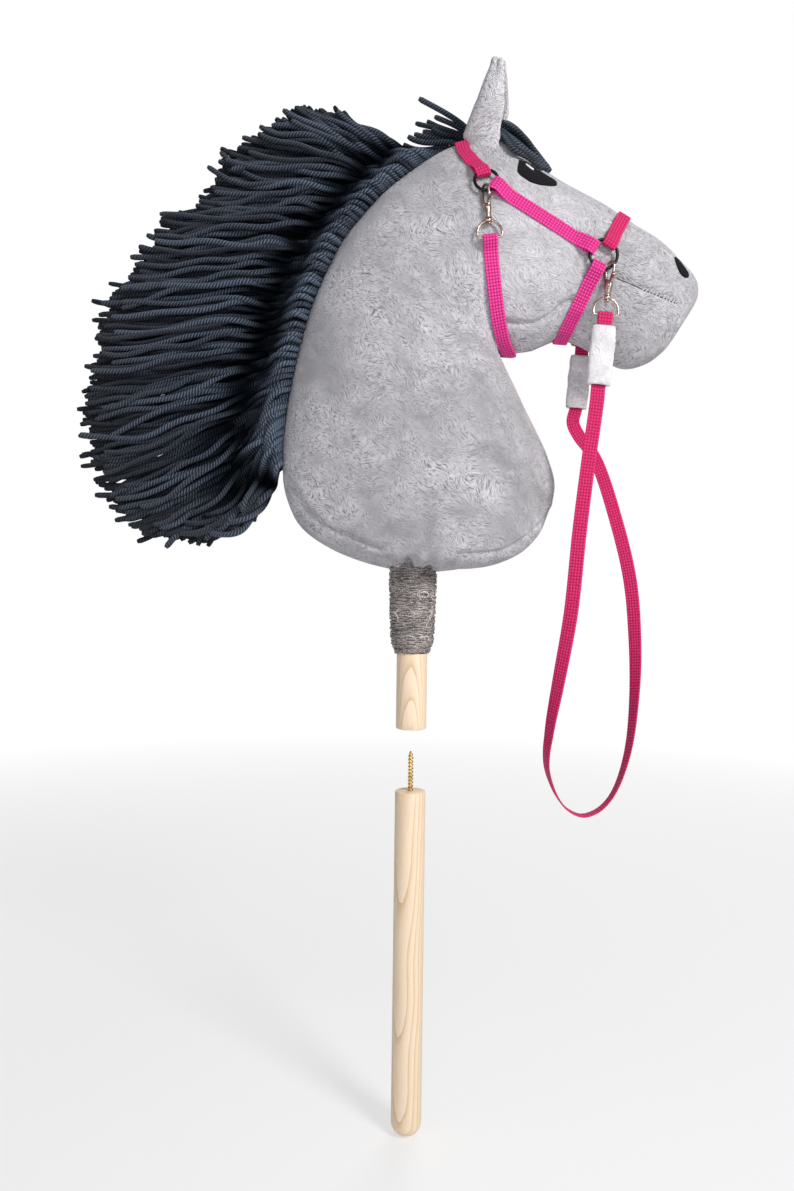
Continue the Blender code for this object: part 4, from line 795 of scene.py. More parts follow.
def shapedSkin():
    plan = skinPlan
    grid = fineSkin()
    grid = puffed(grid)
    grid = denser(grid)
    x, y, z = grid[:, :, 0], grid[:, :, 1], grid[:, :, 2]
    lumps = [[noise.noise(Vector(p) * plan["lumpScale"]) for p in row] for row in grid]
    offset = plan["lump"] * np.array(lumps)
    # Seams along the back, face and throat
    offset -= plan["seamDepth"] * bell(y, plan["crestSeam"])
    grooves = [(plan["jawSeam"], *plan["jawGroove"]), (plan["mouth"], *plan["mouthGroove"])]
    grooves += [(line, *plan["baseGroove"]) for line in plan["baseSeams"]]
    aside = np.abs(y) > plan["sideFrom"]
    welt = plan["welt"]
    for line, share, wide in grooves:
        away = lineDistance(grid, line)
        offset -= aside * plan["seamDepth"] * share * bell(away, wide)
        offset += aside * welt["high"] * bell(away - welt["away"], welt["wide"])
    # Gathers round the stick
    turn = np.arctan2(y, x)
    reach = np.hypot(x, y)
    low = np.clip(1 - (reach - plan["foldFrom"]) / plan["foldReach"], 0, 1) * (z < plan["foldTop"])
    wave = np.cos(turn * plan["folds"] + 1.4 * np.sin(3 * turn)) + 0.5 * np.cos(turn * 9 + 0.7)
    fade = np.clip((reach - plan["holeRadius"]) / plan["foldFade"], 0, 1)
    offset += plan["foldDepth"] * low ** 1.3 * wave * fade
    for middleX, lean, wide, deep in plan["deepFolds"]:
        height = z - plan["deepFoldHeight"]
        line = x - middleX - lean * height
        offset -= deep * bell(line, wide) * bell(height, 0.032) * (y < 0)
        offset += 0.6 * deep * bell(line - 2 * wide, wide) * bell(height, 0.030) * (y < 0)
    edge = np.clip(runLengths(grid[:, grid.shape[1] // 4]) / plan["openEdge"], 0, 1)[:, None]
    return grid + gridNormals(grid) * (offset * edge)[:, :, None]


def surfaceAt(x, z, side=-1, tree=coarseSkin):
    hit, normal, _, _ = tree.ray_cast(Vector((x, side * 0.5, z)), Vector((0, -side, 0)))
    return np.array(hit), facing(normal, (0, side, 0))


def facing(normal, way):
    normal = np.array(normal)
    return normal if np.dot(normal, way) >= 0 else -normal


def smoothNormals(normals, passes=3):
    normals = np.array(normals)
    for _ in range(passes):
        ends = np.vstack([normals[:1], normals, normals[-1:]])
        normals = ends[:-2] + 2 * ends[1:-1] + ends[2:]
        normals /= np.linalg.norm(normals, axis=1)[:, None]
    return normals


# Halter routes: each strap lies on the skin and folds round its rings

halterPlan = {
    "lift": 0.0010, "fold": 0.009, "foldRoom": 0.001, "toPath": 0.006, "step": 0.0045, "gap": 0.0003,
    "places": {"upper": (0.058, 0.480), "lower": (0.160, 0.420)}, "radii": {"upper": 0.0102, "lower": 0.0124},
    "wire": 0.0013, "liftSteps": 120, "liftStep": 0.0002, "pathSteps": 61, "cheekSteps": 26, "hubDrop": 0.035,
    # Each strap that goes round: its rings, angle, distance of its hub, and how far it bows back
    "wraps": {"crown_strap": ("upper", 109, 0.010, 0.005), "nose_strap": ("lower", 61, 0.008, 0.0),
              "chin_strap": ("lower", 246, 0.020, 0.0)},
    "throat": [(0.0655, 0.0440, 0.398), (0.0712, 0.0330, 0.370), (0.0785, 0.0170, 0.352),
               (0.0860, 0.0, 0.3455)],
}


class Ring:
    def __init__(self, level, name):
        self.radius = halterPlan["radii"][level]
        self.wire = halterPlan["wire"]
        self.centre = jointPlace(f"{level}_ring_{name}_turn")
        self.normal = unit(jointAxis(f"{level}_ring_{name}_turn"))

    def along(self, direction):
        return unit(direction - self.normal * np.dot(direction, self.normal))


class Bar:
    def __init__(self, name):
        self.radius = 0.0
        self.wire = reinPlan["wire"]
        origin, up, self.normal = snapAxes("throat", name)
        self.centre = origin - up * reinPlan["barDrop"]
        self.run = -up

    def along(self, direction):
        return self.run


def snapAxes(kind, name):
    origin = jointPlace(f"{kind}_hook_{name}_swivel")
    up = unit(jointAxis(f"{kind}_hook_{name}_swivel"))
    side = -1.0 if name == "right" else 1.0
    out = jointAxis(f"upper_ring_{name}_turn") if kind == "throat" else np.array([0.0, side, 0.0])
    return origin, up, unit(out - up * np.dot(out, up))


def strapEnd(holder, points, normals, lengths):
    plan = halterPlan
    thick = webbingPlan["thickness"]
    half = webbingPlan["width"] / 2
    offset = holder.wire + plan["gap"] + thick / 2
    inner = math.sqrt(max(holder.radius ** 2 - half ** 2, 0)) - (0.5 * holder.wire if holder.radius else 0)
    wireOut = holder.radius + holder.wire + plan["foldRoom"]
    foldEnd = wireOut + plan["fold"]
    point, normal = valueAt(foldEnd, lengths, points), unit(valueAt(foldEnd, lengths, normals))
    run = holder.along(point - holder.centre)

    def flat(distance, lift):
        return holder.centre + run * distance + holder.normal * lift

    low = point + normal * (plan["lift"] + thick / 2)
    high = low + normal * (thick + plan["gap"])
    under, over = flat(wireOut, -offset), flat(wireOut, offset)
    fold = [flat(inner - offset * math.cos(angle), offset * math.sin(angle))
            for angle in np.radians(range(-90, 91, 30))]
    return [low, (low + under) / 2, under] + fold + [over, (over + high) / 2, high], foldEnd + plan["toPath"]


def lifted(point, normal, across):
    # Raised until the whole width of the strap clears the skin
    plan = halterPlan
    thick = webbingPlan["thickness"]
    for step in range(plan["liftSteps"]):
        moved = point + normal * (plan["lift"] + thick / 2 + step * plan["liftStep"])
        inner = moved - normal * thick / 2
        for share in (-0.5, -0.25, 0.0, 0.25, 0.5):
            probe = inner + across * share * webbingPlan["width"]
            near, out, _, _ = coarseSkin.find_nearest(Vector(probe))
            if np.dot(probe - np.array(near), np.array(out)) < plan["lift"] * 0.9:
                break
        else:
            break
    return moved


def strapRoute(path, first, second):
    points, normals = path
    lengths = runLengths(points)
    start, startAt = strapEnd(first, points, normals, lengths)
    end, endAt = strapEnd(second, points[::-1], normals[::-1], lengths[-1] - lengths[::-1])
    middle, widths = [], []
    count = 2 * round((lengths[-1] - endAt - startAt) / (2 * halterPlan["step"])) + 1
    gradient = np.gradient(points, axis=0)
    for distance in np.linspace(startAt, lengths[-1] - endAt, count):
        point, normal, tangent = (valueAt(distance, lengths, rows) for rows in (points, normals, gradient))
        normal = unit(normal)
        across = unit(np.cross(normal, tangent))
        middle.append(lifted(point, normal, across))
        widths.append(across)
    firstWidth = np.cross(first.normal, first.along(points[1] - points[0]))
    lastWidth = np.cross(second.normal, -second.along(points[-2] - points[-1]))
    return start + middle + end[::-1], [firstWidth] * len(start) + widths + [lastWidth] * len(end)


def sidePath(start, end):
    start, end = np.array(start), np.array(end)
    rows = [surfaceAt(*(start + (end - start) * share))
            for share in np.linspace(0, 1, halterPlan["cheekSteps"])]
    points, normals = zip(*rows)
    return np.array(points), smoothNormals(normals)


def wrapPath(place, angle, hubDistance, back):
    angle = math.radians(angle)
    direction = np.array([math.cos(angle), 0, math.sin(angle)])
    behind = np.array([-direction[2], 0, direction[0]])
    hub = np.array([place[0], 0, place[1]]) + direction * hubDistance
    right, _ = surfaceAt(*place)
    startAngle = math.atan2(np.dot(right - hub, direction), -right[1])
    points, normals = [], []
    for turn in np.linspace(startAngle, math.pi - startAngle, halterPlan["pathSteps"]):
        outward = direction * math.sin(turn) + np.array([0, -math.cos(turn), 0])
        start = hub + behind * back * math.sin(2 * turn) ** 2
        hit, normal, _, _ = coarseSkin.ray_cast(Vector(start), Vector(outward))
        points.append(np.array(hit))
        normals.append(facing(normal, outward))
    return np.array(points), smoothNormals(normals, 4)


def throatPath(right):
    top, _ = surfaceAt(right.centre[0], right.centre[2])
    half = [top] + [np.array([x, -y, z]) for x, y, z in halterPlan["throat"]]
    mirror = np.array([1.0, -1.0, 1.0])
    points = smoothCurve(half + [point * mirror for point in half[-2::-1]], halterPlan["pathSteps"])
    hub = np.array([0.0, 0.0, top[2] - halterPlan["hubDrop"]])
    return points, np.array([unit(point * np.array([0, 1, 1]) - hub) for point in points])


haltRings = {(level, name): Ring(level, name) for _, name in sides for level in ("upper", "lower")}


def halterRoutes():
    places = halterPlan["places"]
    routes = {"cheek_strap_right": strapRoute(
        sidePath(places["upper"], places["lower"]), haltRings["upper", "right"], haltRings["lower", "right"])}
    for name, (level, angle, hub, back) in halterPlan["wraps"].items():
        path = wrapPath(places[level], angle, hub, back)
        routes[name] = strapRoute(path, haltRings[level, "right"], haltRings[level, "left"])
    bars = Bar("right"), Bar("left")
    routes["throat_strap"] = strapRoute(throatPath(bars[0]), *bars)
    return routes


def mirrored(mesh):
    copy = mesh.copy()
    copy.transform(Matrix.Scale(-1, 4, (0, 1, 0)))
    copy.flip_normals()
    return copy


strapMeshes = {name: webbingMesh(name, *route) for name, route in halterRoutes().items()}
strapMeshes["cheek_strap_left"] = mirrored(strapMeshes["cheek_strap_right"])
for name, mesh in strapMeshes.items():
    # The crown and nose straps take the shaded copy of the webbing: painted shade
    weave = shadedWeave if name in ("crown_strap", "nose_strap") else pinkWeave
    addPiece(name.replace("_s", "S", 1), mesh, weave, "head", "webbing", name)
print("halter straps are laid")


# Skin: pressed in wherever something hard lies on it

pressPlan = {"reach": 0.011, "room": 0.0007, "passes": 14, "fall": 0.93, "lipDepth": 0.006, "fill": 0.9}
hardKinds = ("upper_ring", "lower_ring", "throat_hook", "throat_gate", "throat_dee", "rein_hook", "rein_gate")


def turnsOf(name):
    joint = joints[name]
    place = Matrix.Translation(Vector(joint["pos_m"]))
    return [place @ Matrix.Rotation(math.radians(degrees), 4, Vector(joint["axis"])) @ place.inverted()
            for degrees in joint["range_deg"]]


def turnedHooks():
    # Hooks and gates at both ends of their swivel; the rein hooks swing with the reins too
    meshes = []
    still = [Matrix.Identity(4)]
    for kind, swings in (("throat", still), ("rein", still + turnsOf("reins_swing"))):
        for _, name in sides:
            swivels = still + turnsOf(f"{kind}_hook_{name}_swivel")
            moves = [swing @ turn for swing in swings for turn in swivels]
            for move in moves:
                for part in ("hook", "gate"):
                    copy = frame["nodes"][f"{kind}_{part}_{name}"].data.copy()
                    copy.transform(move)
                    meshes.append(copy)
    return meshes


def hardTree():
    points, faces = [], []
    hard = [frame["nodes"][f"{kind}_{name}"].data for kind in hardKinds for _, name in sides]
    for mesh in list(strapMeshes.values()) + hard + turnedHooks():
        first = len(points)
        points += [vertex.co.copy() for vertex in mesh.vertices]
        faces += [tuple(first + index for index in polygon.vertices) for polygon in mesh.polygons]
    return surfaceTree(points, faces)


def pressedIn(grid):
    tree = hardTree()
    normals = gridNormals(grid)
    reach = pressPlan["reach"]
    whole = reach + pressPlan["room"]
    need = np.zeros(grid.shape[:2])
    for i, k in np.ndindex(*need.shape):
        start = Vector(grid[i, k] - normals[i, k] * reach)
        hit, _, _, distance = tree.ray_cast(start, Vector(normals[i, k]), whole)
        if hit is not None:
            need[i, k] = whole - distance
    spread = need.copy()
    for _ in range(pressPlan["passes"]):
        around = (np.roll(spread, 1, axis=1) + np.roll(spread, -1, axis=1)
                  + np.vstack([spread[:1], spread[:-1]]) + np.vstack([spread[1:], spread[-1:]])) / 4
        spread = np.maximum(need, around * pressPlan["fall"])
    print("skin is pressed in by up to", round(1000 * float(need.max()), 1), "mm")
    return grid - normals * spread[:, :, None]


plush = fleeceMaterial("greyPlush", (0.21, 0.203, 0.225), (0.63, 0.617, 0.655), 1.0, 0.32, 0.85)
# Painted light: the ears take a lighter copy of the plush
litEarPlush = fleeceMaterial("litEarPlush", (0.30, 0.29, 0.32), (0.80, 0.785, 0.82), 1.2, 0.36, 0.20)


def makeSkin():
    # The opening is closed inwards, round the stick
    grid = pressedIn(shapedSkin())
    count, size = grid.shape[:2]
    inner = grid[0] + np.array([0, 0, pressPlan["lipDepth"]])
    points = np.vstack([grid.reshape(-1, 3), inner, [inner.mean(axis=0)]])
    first = count * size
    faces = ringFaces(count, size) + capFaces(count, size)[1:]
    faces += [(k, (k + 1) % size, first + (k + 1) % size, first + k) for k in range(size)]
    faces += [(first + k, first + (k + 1) % size, first + size) for k in range(size)]
    piece = addPiece("plushSkin", meshFrom("plushSkin", points, faces), plush, "head", "plush",
                     "side_panel_right", "side_panel_left", "base_gusset", "neck_stuffing",
                     "head_stuffing", "neck_sleeve")
    return surfaceTree(points, faces)


skinTree = makeSkin()
print("plush skin is stuffed")


# Swept and turned shapes

def sweep(points, radii, around=12, closed=False, side=None):
    points = np.array(points, float)
    radii = np.broadcast_to(np.array(radii, float), (len(points),)).copy()
    if closed:
        tangents = np.roll(points, -1, axis=0) - np.roll(points, 1, axis=0)
    else:
        tangents = np.gradient(points, axis=0)
    tangents /= np.linalg.norm(tangents, axis=1)[:, None]
    if not closed:
        # Rounded ends
        caps = np.radians([82, 60, 35])
        head = [points[0] - tangents[0] * radii[0] * math.sin(a) for a in caps]
        tail = [points[-1] + tangents[-1] * radii[-1] * math.sin(a) for a in caps[::-1]]
        points = np.vstack([head, points, tail])
        tangents = np.vstack([[tangents[0]] * 3, tangents, [tangents[-1]] * 3])
        radii = np.r_[radii[0] * np.cos(caps), radii, radii[-1] * np.cos(caps[::-1])]
    if side is None:
        start = np.array([0.0, 0.0, 1.0]) if abs(tangents[0][2]) < 0.9 else np.array([1.0, 0.0, 0.0])
        frames = [unit(np.cross(tangents[0], start))]
        for tangent in tangents[1:]:
            frames.append(unit(frames[-1] - tangent * np.dot(frames[-1], tangent)))
        across = np.array(frames)
    else:
        across = np.array([unit(np.array(side) - t * np.dot(side, t)) for t in tangents])
    ups = np.cross(tangents, across)
    turns = np.linspace(0, 2 * math.pi, around, endpoint=False)
    rings = (points[:, None] + across[:, None] * np.cos(turns)[None, :, None] * radii[:, None, None]
             + ups[:, None] * np.sin(turns)[None, :, None] * radii[:, None, None])
    count = len(rings)
    faces = ringFaces(count, around)
    if closed:
        last = (count - 1) * around
        faces += [(last + k, last + (k + 1) % around, (k + 1) % around, k) for k in range(around)]
    else:
        faces += capFaces(count, around)
    return meshFrom("sweep", rings.reshape(-1, 3), faces)


def lathe(profile, around=64, closed=False):
    # Profile rows of (radius, height); radius 0 makes a pole
    points, faces, rows = [], [], []
    for radius, height in profile:
        pole = radius < 1e-7
        rows.append(list(range(len(points), len(points) + (1 if pole else around))))
        points += [(0.0, 0.0, height)] if pole else roundRing(radius, height, around)
    pairs = list(zip(rows[:-1], rows[1:])) + ([(rows[-1], rows[0])] if closed else [])
    for low, high in pairs:
        for k in range(around):
            a, b = low[k % len(low)], low[(k + 1) % len(low)]
            c, d = high[(k + 1) % len(high)], high[k % len(high)]
            if len(low) == 1 and len(high) > 1:
                faces.append((a, c, d))
            elif len(high) == 1 and len(low) > 1:
                faces.append((a, b, c))
            elif len(low) > 1:
                faces.append((a, b, c, d))
    return meshFrom("lathe", points, faces)


def roundRing(radius, height, around):
    return [(radius * math.cos(turn), radius * math.sin(turn), height) for turn in circleTurns(around)]


def creased(mesh, angle=35):
    mesh.shade_smooth()
    work = bmesh.new()
    work.from_mesh(mesh)
    for edge in work.edges:
        if len(edge.link_faces) == 2 and edge.calc_face_angle(0.0) > math.radians(angle):
            edge.smooth = False
    work.to_mesh(mesh)
    work.free()
    return mesh


# Ears: soft cups of plush, open to the front

earPlan = {
    "length": 0.0648, "wrap": 115, "thickness": 0.0046, "tipDrop": 0.0010, "place": (0.0600, 0.0180),
    "leanForward": 3.0, "leanOut": 14.0, "rows": 56, "columns": 40, "edge": 7, "sink": 0.0022,
    "seatShare": 0.09, "turnOut": 18.0, "thinner": 0.35, "lump": 0.0005, "lumpScale": 110,
    # Share of the height, middle along the front direction, half depth, half width
    "sections": ((0.0, 0.0018, 0.0168, 0.0066), (0.09, 0.0016, 0.0206, 0.0088),
                 (0.24, 0.0044, 0.0200, 0.0112), (0.41, 0.0065, 0.0180, 0.0112),
                 (0.67, 0.0070, 0.0127, 0.0092), (0.92, 0.0071, 0.0074, 0.0058),
                 (1.0, 0.0068, 0.0058, 0.0042)),
    "crease": {"turn": 1.34, "wide": 0.26, "deep": 0.0020, "notch": 0.0022, "from": 0.70, "over": 0.20},
    # Rows past the top that close it: share of the height and how far they shrink
    "tip": ((1.012, 0.86), (1.022, 0.62), (1.027, 0.3)),
    "swell": 0.0010, "stitchDip": 0.0008, "stitchAt": 0.42, "stitchWide": 0.07, "middleReach": 0.014,
}


def topOf(tree, x, y):
    hit = tree.ray_cast(Vector((x, y, 1.0)), Vector((0, 0, -1)))[0]
    return hit[2] if hit is not None else None


def earFrame(side):
    plan = earPlan
    x, y = plan["place"]
    base = np.array([x, side * y, topOf(coarseSkin, x, -y)])
    axis = unit(np.array([math.tan(math.radians(plan["leanForward"])),
                          side * math.tan(math.radians(plan["leanOut"])), 1.0]))
    front = unit(np.array([1.0, 0, 0]) - axis * axis[0])
    turned = math.radians(plan["turnOut"]) * side
    front = front * math.cos(turned) + np.cross(axis, front) * math.sin(turned)
    return base, axis, front, np.cross(axis, front)


def earRing(place, share, shrink=1.0):
    # One loop round the wall of the cup: outside, edge, inside, edge
    plan, crease = earPlan, earPlan["crease"]
    base, axis, front, across = place
    knots = np.array(plan["sections"])
    shift, depth, width = (np.interp(share, knots[:, 0], knots[:, k]) for k in (1, 2, 3))
    radius = (depth + width) / 2
    half = plan["thickness"] / 2 * (1 - plan["thinner"] * min(share, 1.0)) * shrink
    wrap = math.radians(plan["wrap"])
    outline = [(turn, half) for turn in np.linspace(-wrap, wrap, plan["columns"])]
    edge = [math.radians(90 - 180 * k / (plan["edge"] + 1)) for k in range(1, plan["edge"] + 1)]
    outline += [(wrap + half * 1.15 * math.cos(a) / radius, half * math.sin(a)) for a in edge]
    outline += [(turn, -half) for turn in np.linspace(wrap, -wrap, plan["columns"])]
    outline += [(-wrap - half * 1.15 * math.cos(a) / radius, half * math.sin(a)) for a in edge[::-1]]
    points = []
    grow = clipped((share - crease["from"]) / crease["over"])
    for turn, away in outline:
        fold = grow * bell(abs(turn) - crease["turn"], crease["wide"])
        away -= crease["deep"] * fold
        drop = plan["tipDrop"] * (1 - math.cos(min(abs(turn), 2.2))) * min(share, 1.0) ** 3
        drop += crease["notch"] * fold * max(0.0, share - 0.9) * 8
        points.append(base + front * shift + axis * (plan["length"] * share - drop)
                      - front * (depth * shrink ** 0.5 + away) * math.cos(turn)
                      + across * (width * shrink ** 0.5 + away) * math.sin(turn))
    return np.array(points)


def earMesh(side):
    plan = earPlan
    place = earFrame(side)
    seat = earRing(place, 0.0)
    for point in seat:
        top = topOf(skinTree, point[0], point[1])
        point[2] = (place[0][2] if top is None else top) - plan["sink"]
    join = plan["seatShare"]
    first = earRing(place, join)
    rings = []
    for share in np.linspace(0, 1, plan["rows"]):
        if share < join:
            part = share / join
            row = seat + (first - seat) * part
            swell = plan["swell"] * math.sin(math.pi * part)
            swell -= plan["stitchDip"] * bell(part - plan["stitchAt"], plan["stitchWide"])
            rings.append(row + (row - row.mean(axis=0)) * swell / plan["middleReach"])
        else:
            rings.append(earRing(place, share))
    rings = np.array(rings + [earRing(place, *row) for row in plan["tip"]])
    normals = gridNormals(rings)
    count, size = rings.shape[:2]
    for i in range(1, count):
        for k in range(size):
            lump = plan["lump"] * noise.noise(Vector(rings[i, k]) * plan["lumpScale"])
            rings[i, k] += normals[i, k] * lump
    faces = ringFaces(count, size)
    # The C-shaped ends are closed by strips between the two walls
    half, columns = plan["columns"] + plan["edge"], plan["columns"]
    for first in (0, (count - 1) * size):
        outer = [first + k for k in range(columns)]
        inner = [first + half + columns - 1 - k for k in range(columns)]
        faces += [(outer[k], outer[k + 1], inner[k + 1], inner[k]) for k in range(columns - 1)]
        for start in (columns - 1, half + columns - 1):
            faces.append(tuple(first + (start + k) % size for k in range(plan["edge"] + 2)))
    return meshFrom("ear", rings.reshape(-1, 3), faces)


for side, name in sides:
    addPiece(f"ear_{name}", earMesh(side), litEarPlush, "head", "plush", f"ear_{name}")
print("ears stand")


# Felt face and stitched mouth

facePlan = {
    "eye": [(0.0880, 0.5072), (0.0859, 0.4967), (0.0862, 0.4925), (0.0895, 0.4887), (0.0975, 0.4846),
            (0.1065, 0.4835), (0.1160, 0.4848), (0.1208, 0.4866), (0.1231, 0.4898), (0.1214, 0.4940),
            (0.1112, 0.4990), (0.1018, 0.5034), (0.0962, 0.5060), (0.0920, 0.5070)],
    "glint": [(0.0935, 0.5036), (0.0940, 0.5018), (0.0993, 0.4982), (0.1003, 0.4991)],
    "nostril": [(0.2285, 0.4268), (0.2288, 0.4190), (0.2318, 0.4100), (0.2362, 0.4068), (0.2402, 0.4078),
                (0.2406, 0.4118), (0.2372, 0.4182), (0.2326, 0.4246)],
    # Share of the way out and of the thickness, from the middle over the edge
    "rings": ((0.25, 1.0), (0.5, 1.0), (0.75, 1.0), (0.93, 1.0), (0.975, 0.86), (1.0, 0.5), (1.0, 0.0)),
    "sink": 0.0004, "felt": 0.0013, "glintLow": 0.00104, "glintHigh": 0.0021, "ragged": 0.00012,
    "thread": 0.00050, "stitches": 11, "stitchHalf": 0.0019, "stitchLean": 0.25, "stitchRise": 0.0014,
    "stitchSink": 0.0003, "stitchRun": (27, 58), "mouthSteps": 60, "seam": 0.0005, "seamLift": 0.0002,
}


def onFace(spot, side, height):
    point, normal = surfaceAt(spot[0], spot[1], side, skinTree)
    return point + normal * height


def feltMesh(outline, low, high, side, ragged=facePlan["ragged"]):
    loop = closedCurve(outline, 90)
    centre = loop.mean(axis=0)
    points = [onFace(centre, side, high), onFace(centre, side, low)]
    for share, level in facePlan["rings"]:
        for spot in loop:
            rag = ragged * noise.noise(Vector((*spot * 900, side))) if share > 0.95 else 0.0
            away = spot - centre
            spot = centre + away * (share + rag / np.linalg.norm(away))
            points.append(onFace(spot, side, low + (high - low) * level))
    count, rings = len(loop), len(facePlan["rings"])
    faces = [tuple(2 + index for index in face) for face in ringFaces(rings, count)]
    last = 2 + (rings - 1) * count
    for k in range(count):
        after = (k + 1) % count
        faces += [(0, 2 + k, 2 + after), (1, last + after, last + k)]
    return meshFrom("felt", points, faces)


def feltMaterial(name, low, high):
    material, tree, shader = newMaterial(name)
    point = objectPoint(tree)
    fibre = noiseNode(tree, stretched(tree, point, (1500.0, 900.0, 2600.0)), 1.0, 4.0, 0.6)
    level = weighted(tree, (fibre, 0.7), (noiseNode(tree, point, 160.0), 0.3))
    feed(tree, shader, {
        "Base Color": rampNode(tree, level, (0.35, low), (0.7, high)),
        "Normal": bumpNode(tree, level, 0.7, 0.0004),
        "Roughness": spanNode(tree, fibre, 0.3, 0.7, 0.8, 0.98), "Specular IOR Level": 0.1,
        "Sheen Weight": 0.04})
    return material


blackFelt = feltMaterial("blackFelt", (0.003, 0.003, 0.004), (0.012, 0.012, 0.015))
whiteFelt = feltMaterial("whiteFelt", (0.66, 0.67, 0.70), (0.88, 0.88, 0.90))
creaseShadeThread = feltMaterial("creaseShadeThread", (0.055, 0.052, 0.058), (0.15, 0.145, 0.155))
greyThread = feltMaterial("greyThread", (0.50, 0.50, 0.53), (0.78, 0.78, 0.81))


def makeMouth(side, name):
    plan = facePlan
    line = flatCurve(skinPlan["mouth"], plan["mouthSteps"])
    run = np.gradient(line, axis=0)
    seam = [onFace(spot, side, plan["seamLift"]) for spot in line]
    # Painted shade: a dark thread along the mouth line stands in for the shade in its crease
    addPiece(f"mouthSeam_{name}", sweep(seam, plan["seam"], 8), creaseShadeThread, "head", "thread")
    meshes = []
    for k in np.linspace(*plan["stitchRun"], plan["stitches"]).round().astype(int):
        along = unit(run[k])
        across = np.array([-along[1], along[0]]) + along * plan["stitchLean"]
        points = [onFace(line[k] + across * share * plan["stitchHalf"], side,
                         plan["stitchRise"] * (1 - share ** 4) - plan["stitchSink"])
                  for share in np.linspace(-1, 1, 7)]
        meshes.append(sweep(points, plan["thread"], 6))
    addPiece(f"mouthStitch_{name}", joinMeshes("stitches", meshes), greyThread, "head", "thread",
             f"mouth_stitch_{name}")


def makeFace(side, name):
    plan = facePlan
    felt, sink = plan["felt"], -plan["sink"]
    for piece, outline, low, high, ragged, material, slot, node in (
            ("eye", "eye", sink, felt, plan["ragged"], blackFelt, "felt_black", "eye"),
            ("eyeGlint", "glint", plan["glintLow"], plan["glintHigh"], 0.0, whiteFelt, "felt_white",
             "eye_glint"),
            ("nostril", "nostril", sink, felt, plan["ragged"], blackFelt, "felt_black", "nostril")):
        addPiece(f"{piece}_{name}", feltMesh(plan[outline], low, high, side, ragged), material, "head", slot,
                 f"{node}_{name}")
    makeMouth(side, name)


for side, name in sides:
    makeFace(side, name)
print("the face is on")


# Black rings, snap hooks, gates and D rings

metalPlan = {
    "ringWire": 0.00135, "turn": 55, "jaw": 0.0043, "jawTop": 0.0045, "nose": 0.0055, "bodyLow": 0.0250,
    "gateWidth": 0.0024, "gateRound": 0.00035, "pivot": (0.0018, 0.0, -0.0165), "gap": 0.0003,
    "eyeHeight": 0.0032, "eyeRadius": 0.0030, "post": 0.0012, "deeWire": 0.0011, "deeWidth": 0.0213,
    "deeHeight": 0.0148, "shoulder": 0.0035, "jawSteps": 46,
    "gate": [(0.0009, -0.0174), (0.0030, -0.0174), (0.0046, -0.0119), (0.0078, -0.0107), (0.0084, -0.0093),
             (0.0058, -0.0086), (0.0055, -0.0070), (0.0046, -0.0061), (0.0031, -0.0061), (0.0009, -0.0135)],
    # Share of the way round the jaw and the wire's radius there
    "jawWire": ((0, 0.0017), (0.25, 0.0014), (0.6, 0.0012), (0.92, 0.00115), (1.0, 0.00125)),
    # Height, half width, half depth and shift of each ring of the body
    "body": ((-0.0102, 0.0012, 0.0012, -0.0029), (-0.0116, 0.0020, 0.0018, -0.0024),
             (-0.0128, 0.0033, 0.0022, -0.0006), (-0.0145, 0.0038, 0.0023, 0.0),
             (-0.0175, 0.0037, 0.0023, 0.0), (-0.0205, 0.0031, 0.0021, 0.0),
             (-0.0228, 0.0024, 0.0020, 0.0), (-0.0240, 0.0022, 0.0020, 0.0),
             (-0.0243, 0.0026, 0.0024, 0.0), (-0.0250, 0.0026, 0.0024, 0.0)),
    "pin": ((0, -0.0026), (0.0008, -0.0026), (0.0010, -0.0023), (0.0010, 0.0023), (0.0008, 0.0026),
            (0, 0.0026)),
    # The button under the swivel: radius and depth below the post
    "button": ((0.0019, 0.0), (0.0022, 0.0005), (0.0021, 0.0012), (0.0014, 0.0018), (0, 0.0020)),
}


def metalMaterial(name, colour, dark, rough):
    material, tree, shader = newMaterial(name)
    point = objectPoint(tree)
    scratch = noiseNode(tree, stretched(tree, point, (900.0, 900.0, 5200.0)), 1.0, 3.0)
    level = product(tree, noiseNode(tree, point, 220.0, 3.0), scratch)
    feed(tree, shader, {
        "Base Color": rampNode(tree, level, (0.12, dark), (0.34, colour)), "Metallic": 1.0,
        "Roughness": spanNode(tree, scratch, 0.3, 0.7, rough * 0.75, rough * 1.5),
        "Normal": bumpNode(tree, scratch, 0.25, 0.00012)})
    return material


nickel = metalMaterial("warmNickel", (0.66, 0.54, 0.46), (0.24, 0.17, 0.13), 0.22)
blackMetal = metalMaterial("blackMetal", (0.030, 0.030, 0.033), (0.012, 0.012, 0.014), 0.30)
brass = metalMaterial("screwBrass", (0.86, 0.62, 0.26), (0.50, 0.32, 0.10), 0.24)


def stacked(rings, angle):
    size = len(rings[0])
    faces = ringFaces(len(rings), size) + capFaces(len(rings), size)
    return creased(meshFrom("stack", np.vstack(rings), faces), angle)


def gateMesh():
    # A flat plate with softened edges
    half, rounded = metalPlan["gateWidth"] / 2, metalPlan["gateRound"]
    loop = closedCurve(metalPlan["gate"], 64)
    tangent = np.roll(loop, -1, axis=0) - np.roll(loop, 1, axis=0)
    outward = np.column_stack([tangent[:, 1], -tangent[:, 0]])
    outward /= np.linalg.norm(outward, axis=1)[:, None]
    if np.sum((loop - loop.mean(axis=0)) * outward) < 0:
        outward = -outward
    rings = []
    for depth, inset in ((-1, 1.0), (-0.85, 0.3), (-0.6, 0), (0.6, 0), (0.85, 0.3), (1, 1.0)):
        flat = loop - outward * inset * rounded
        rings.append(np.column_stack([flat[:, 0], np.full(len(flat), depth * half), flat[:, 1]]))
    return stacked(rings, 40)


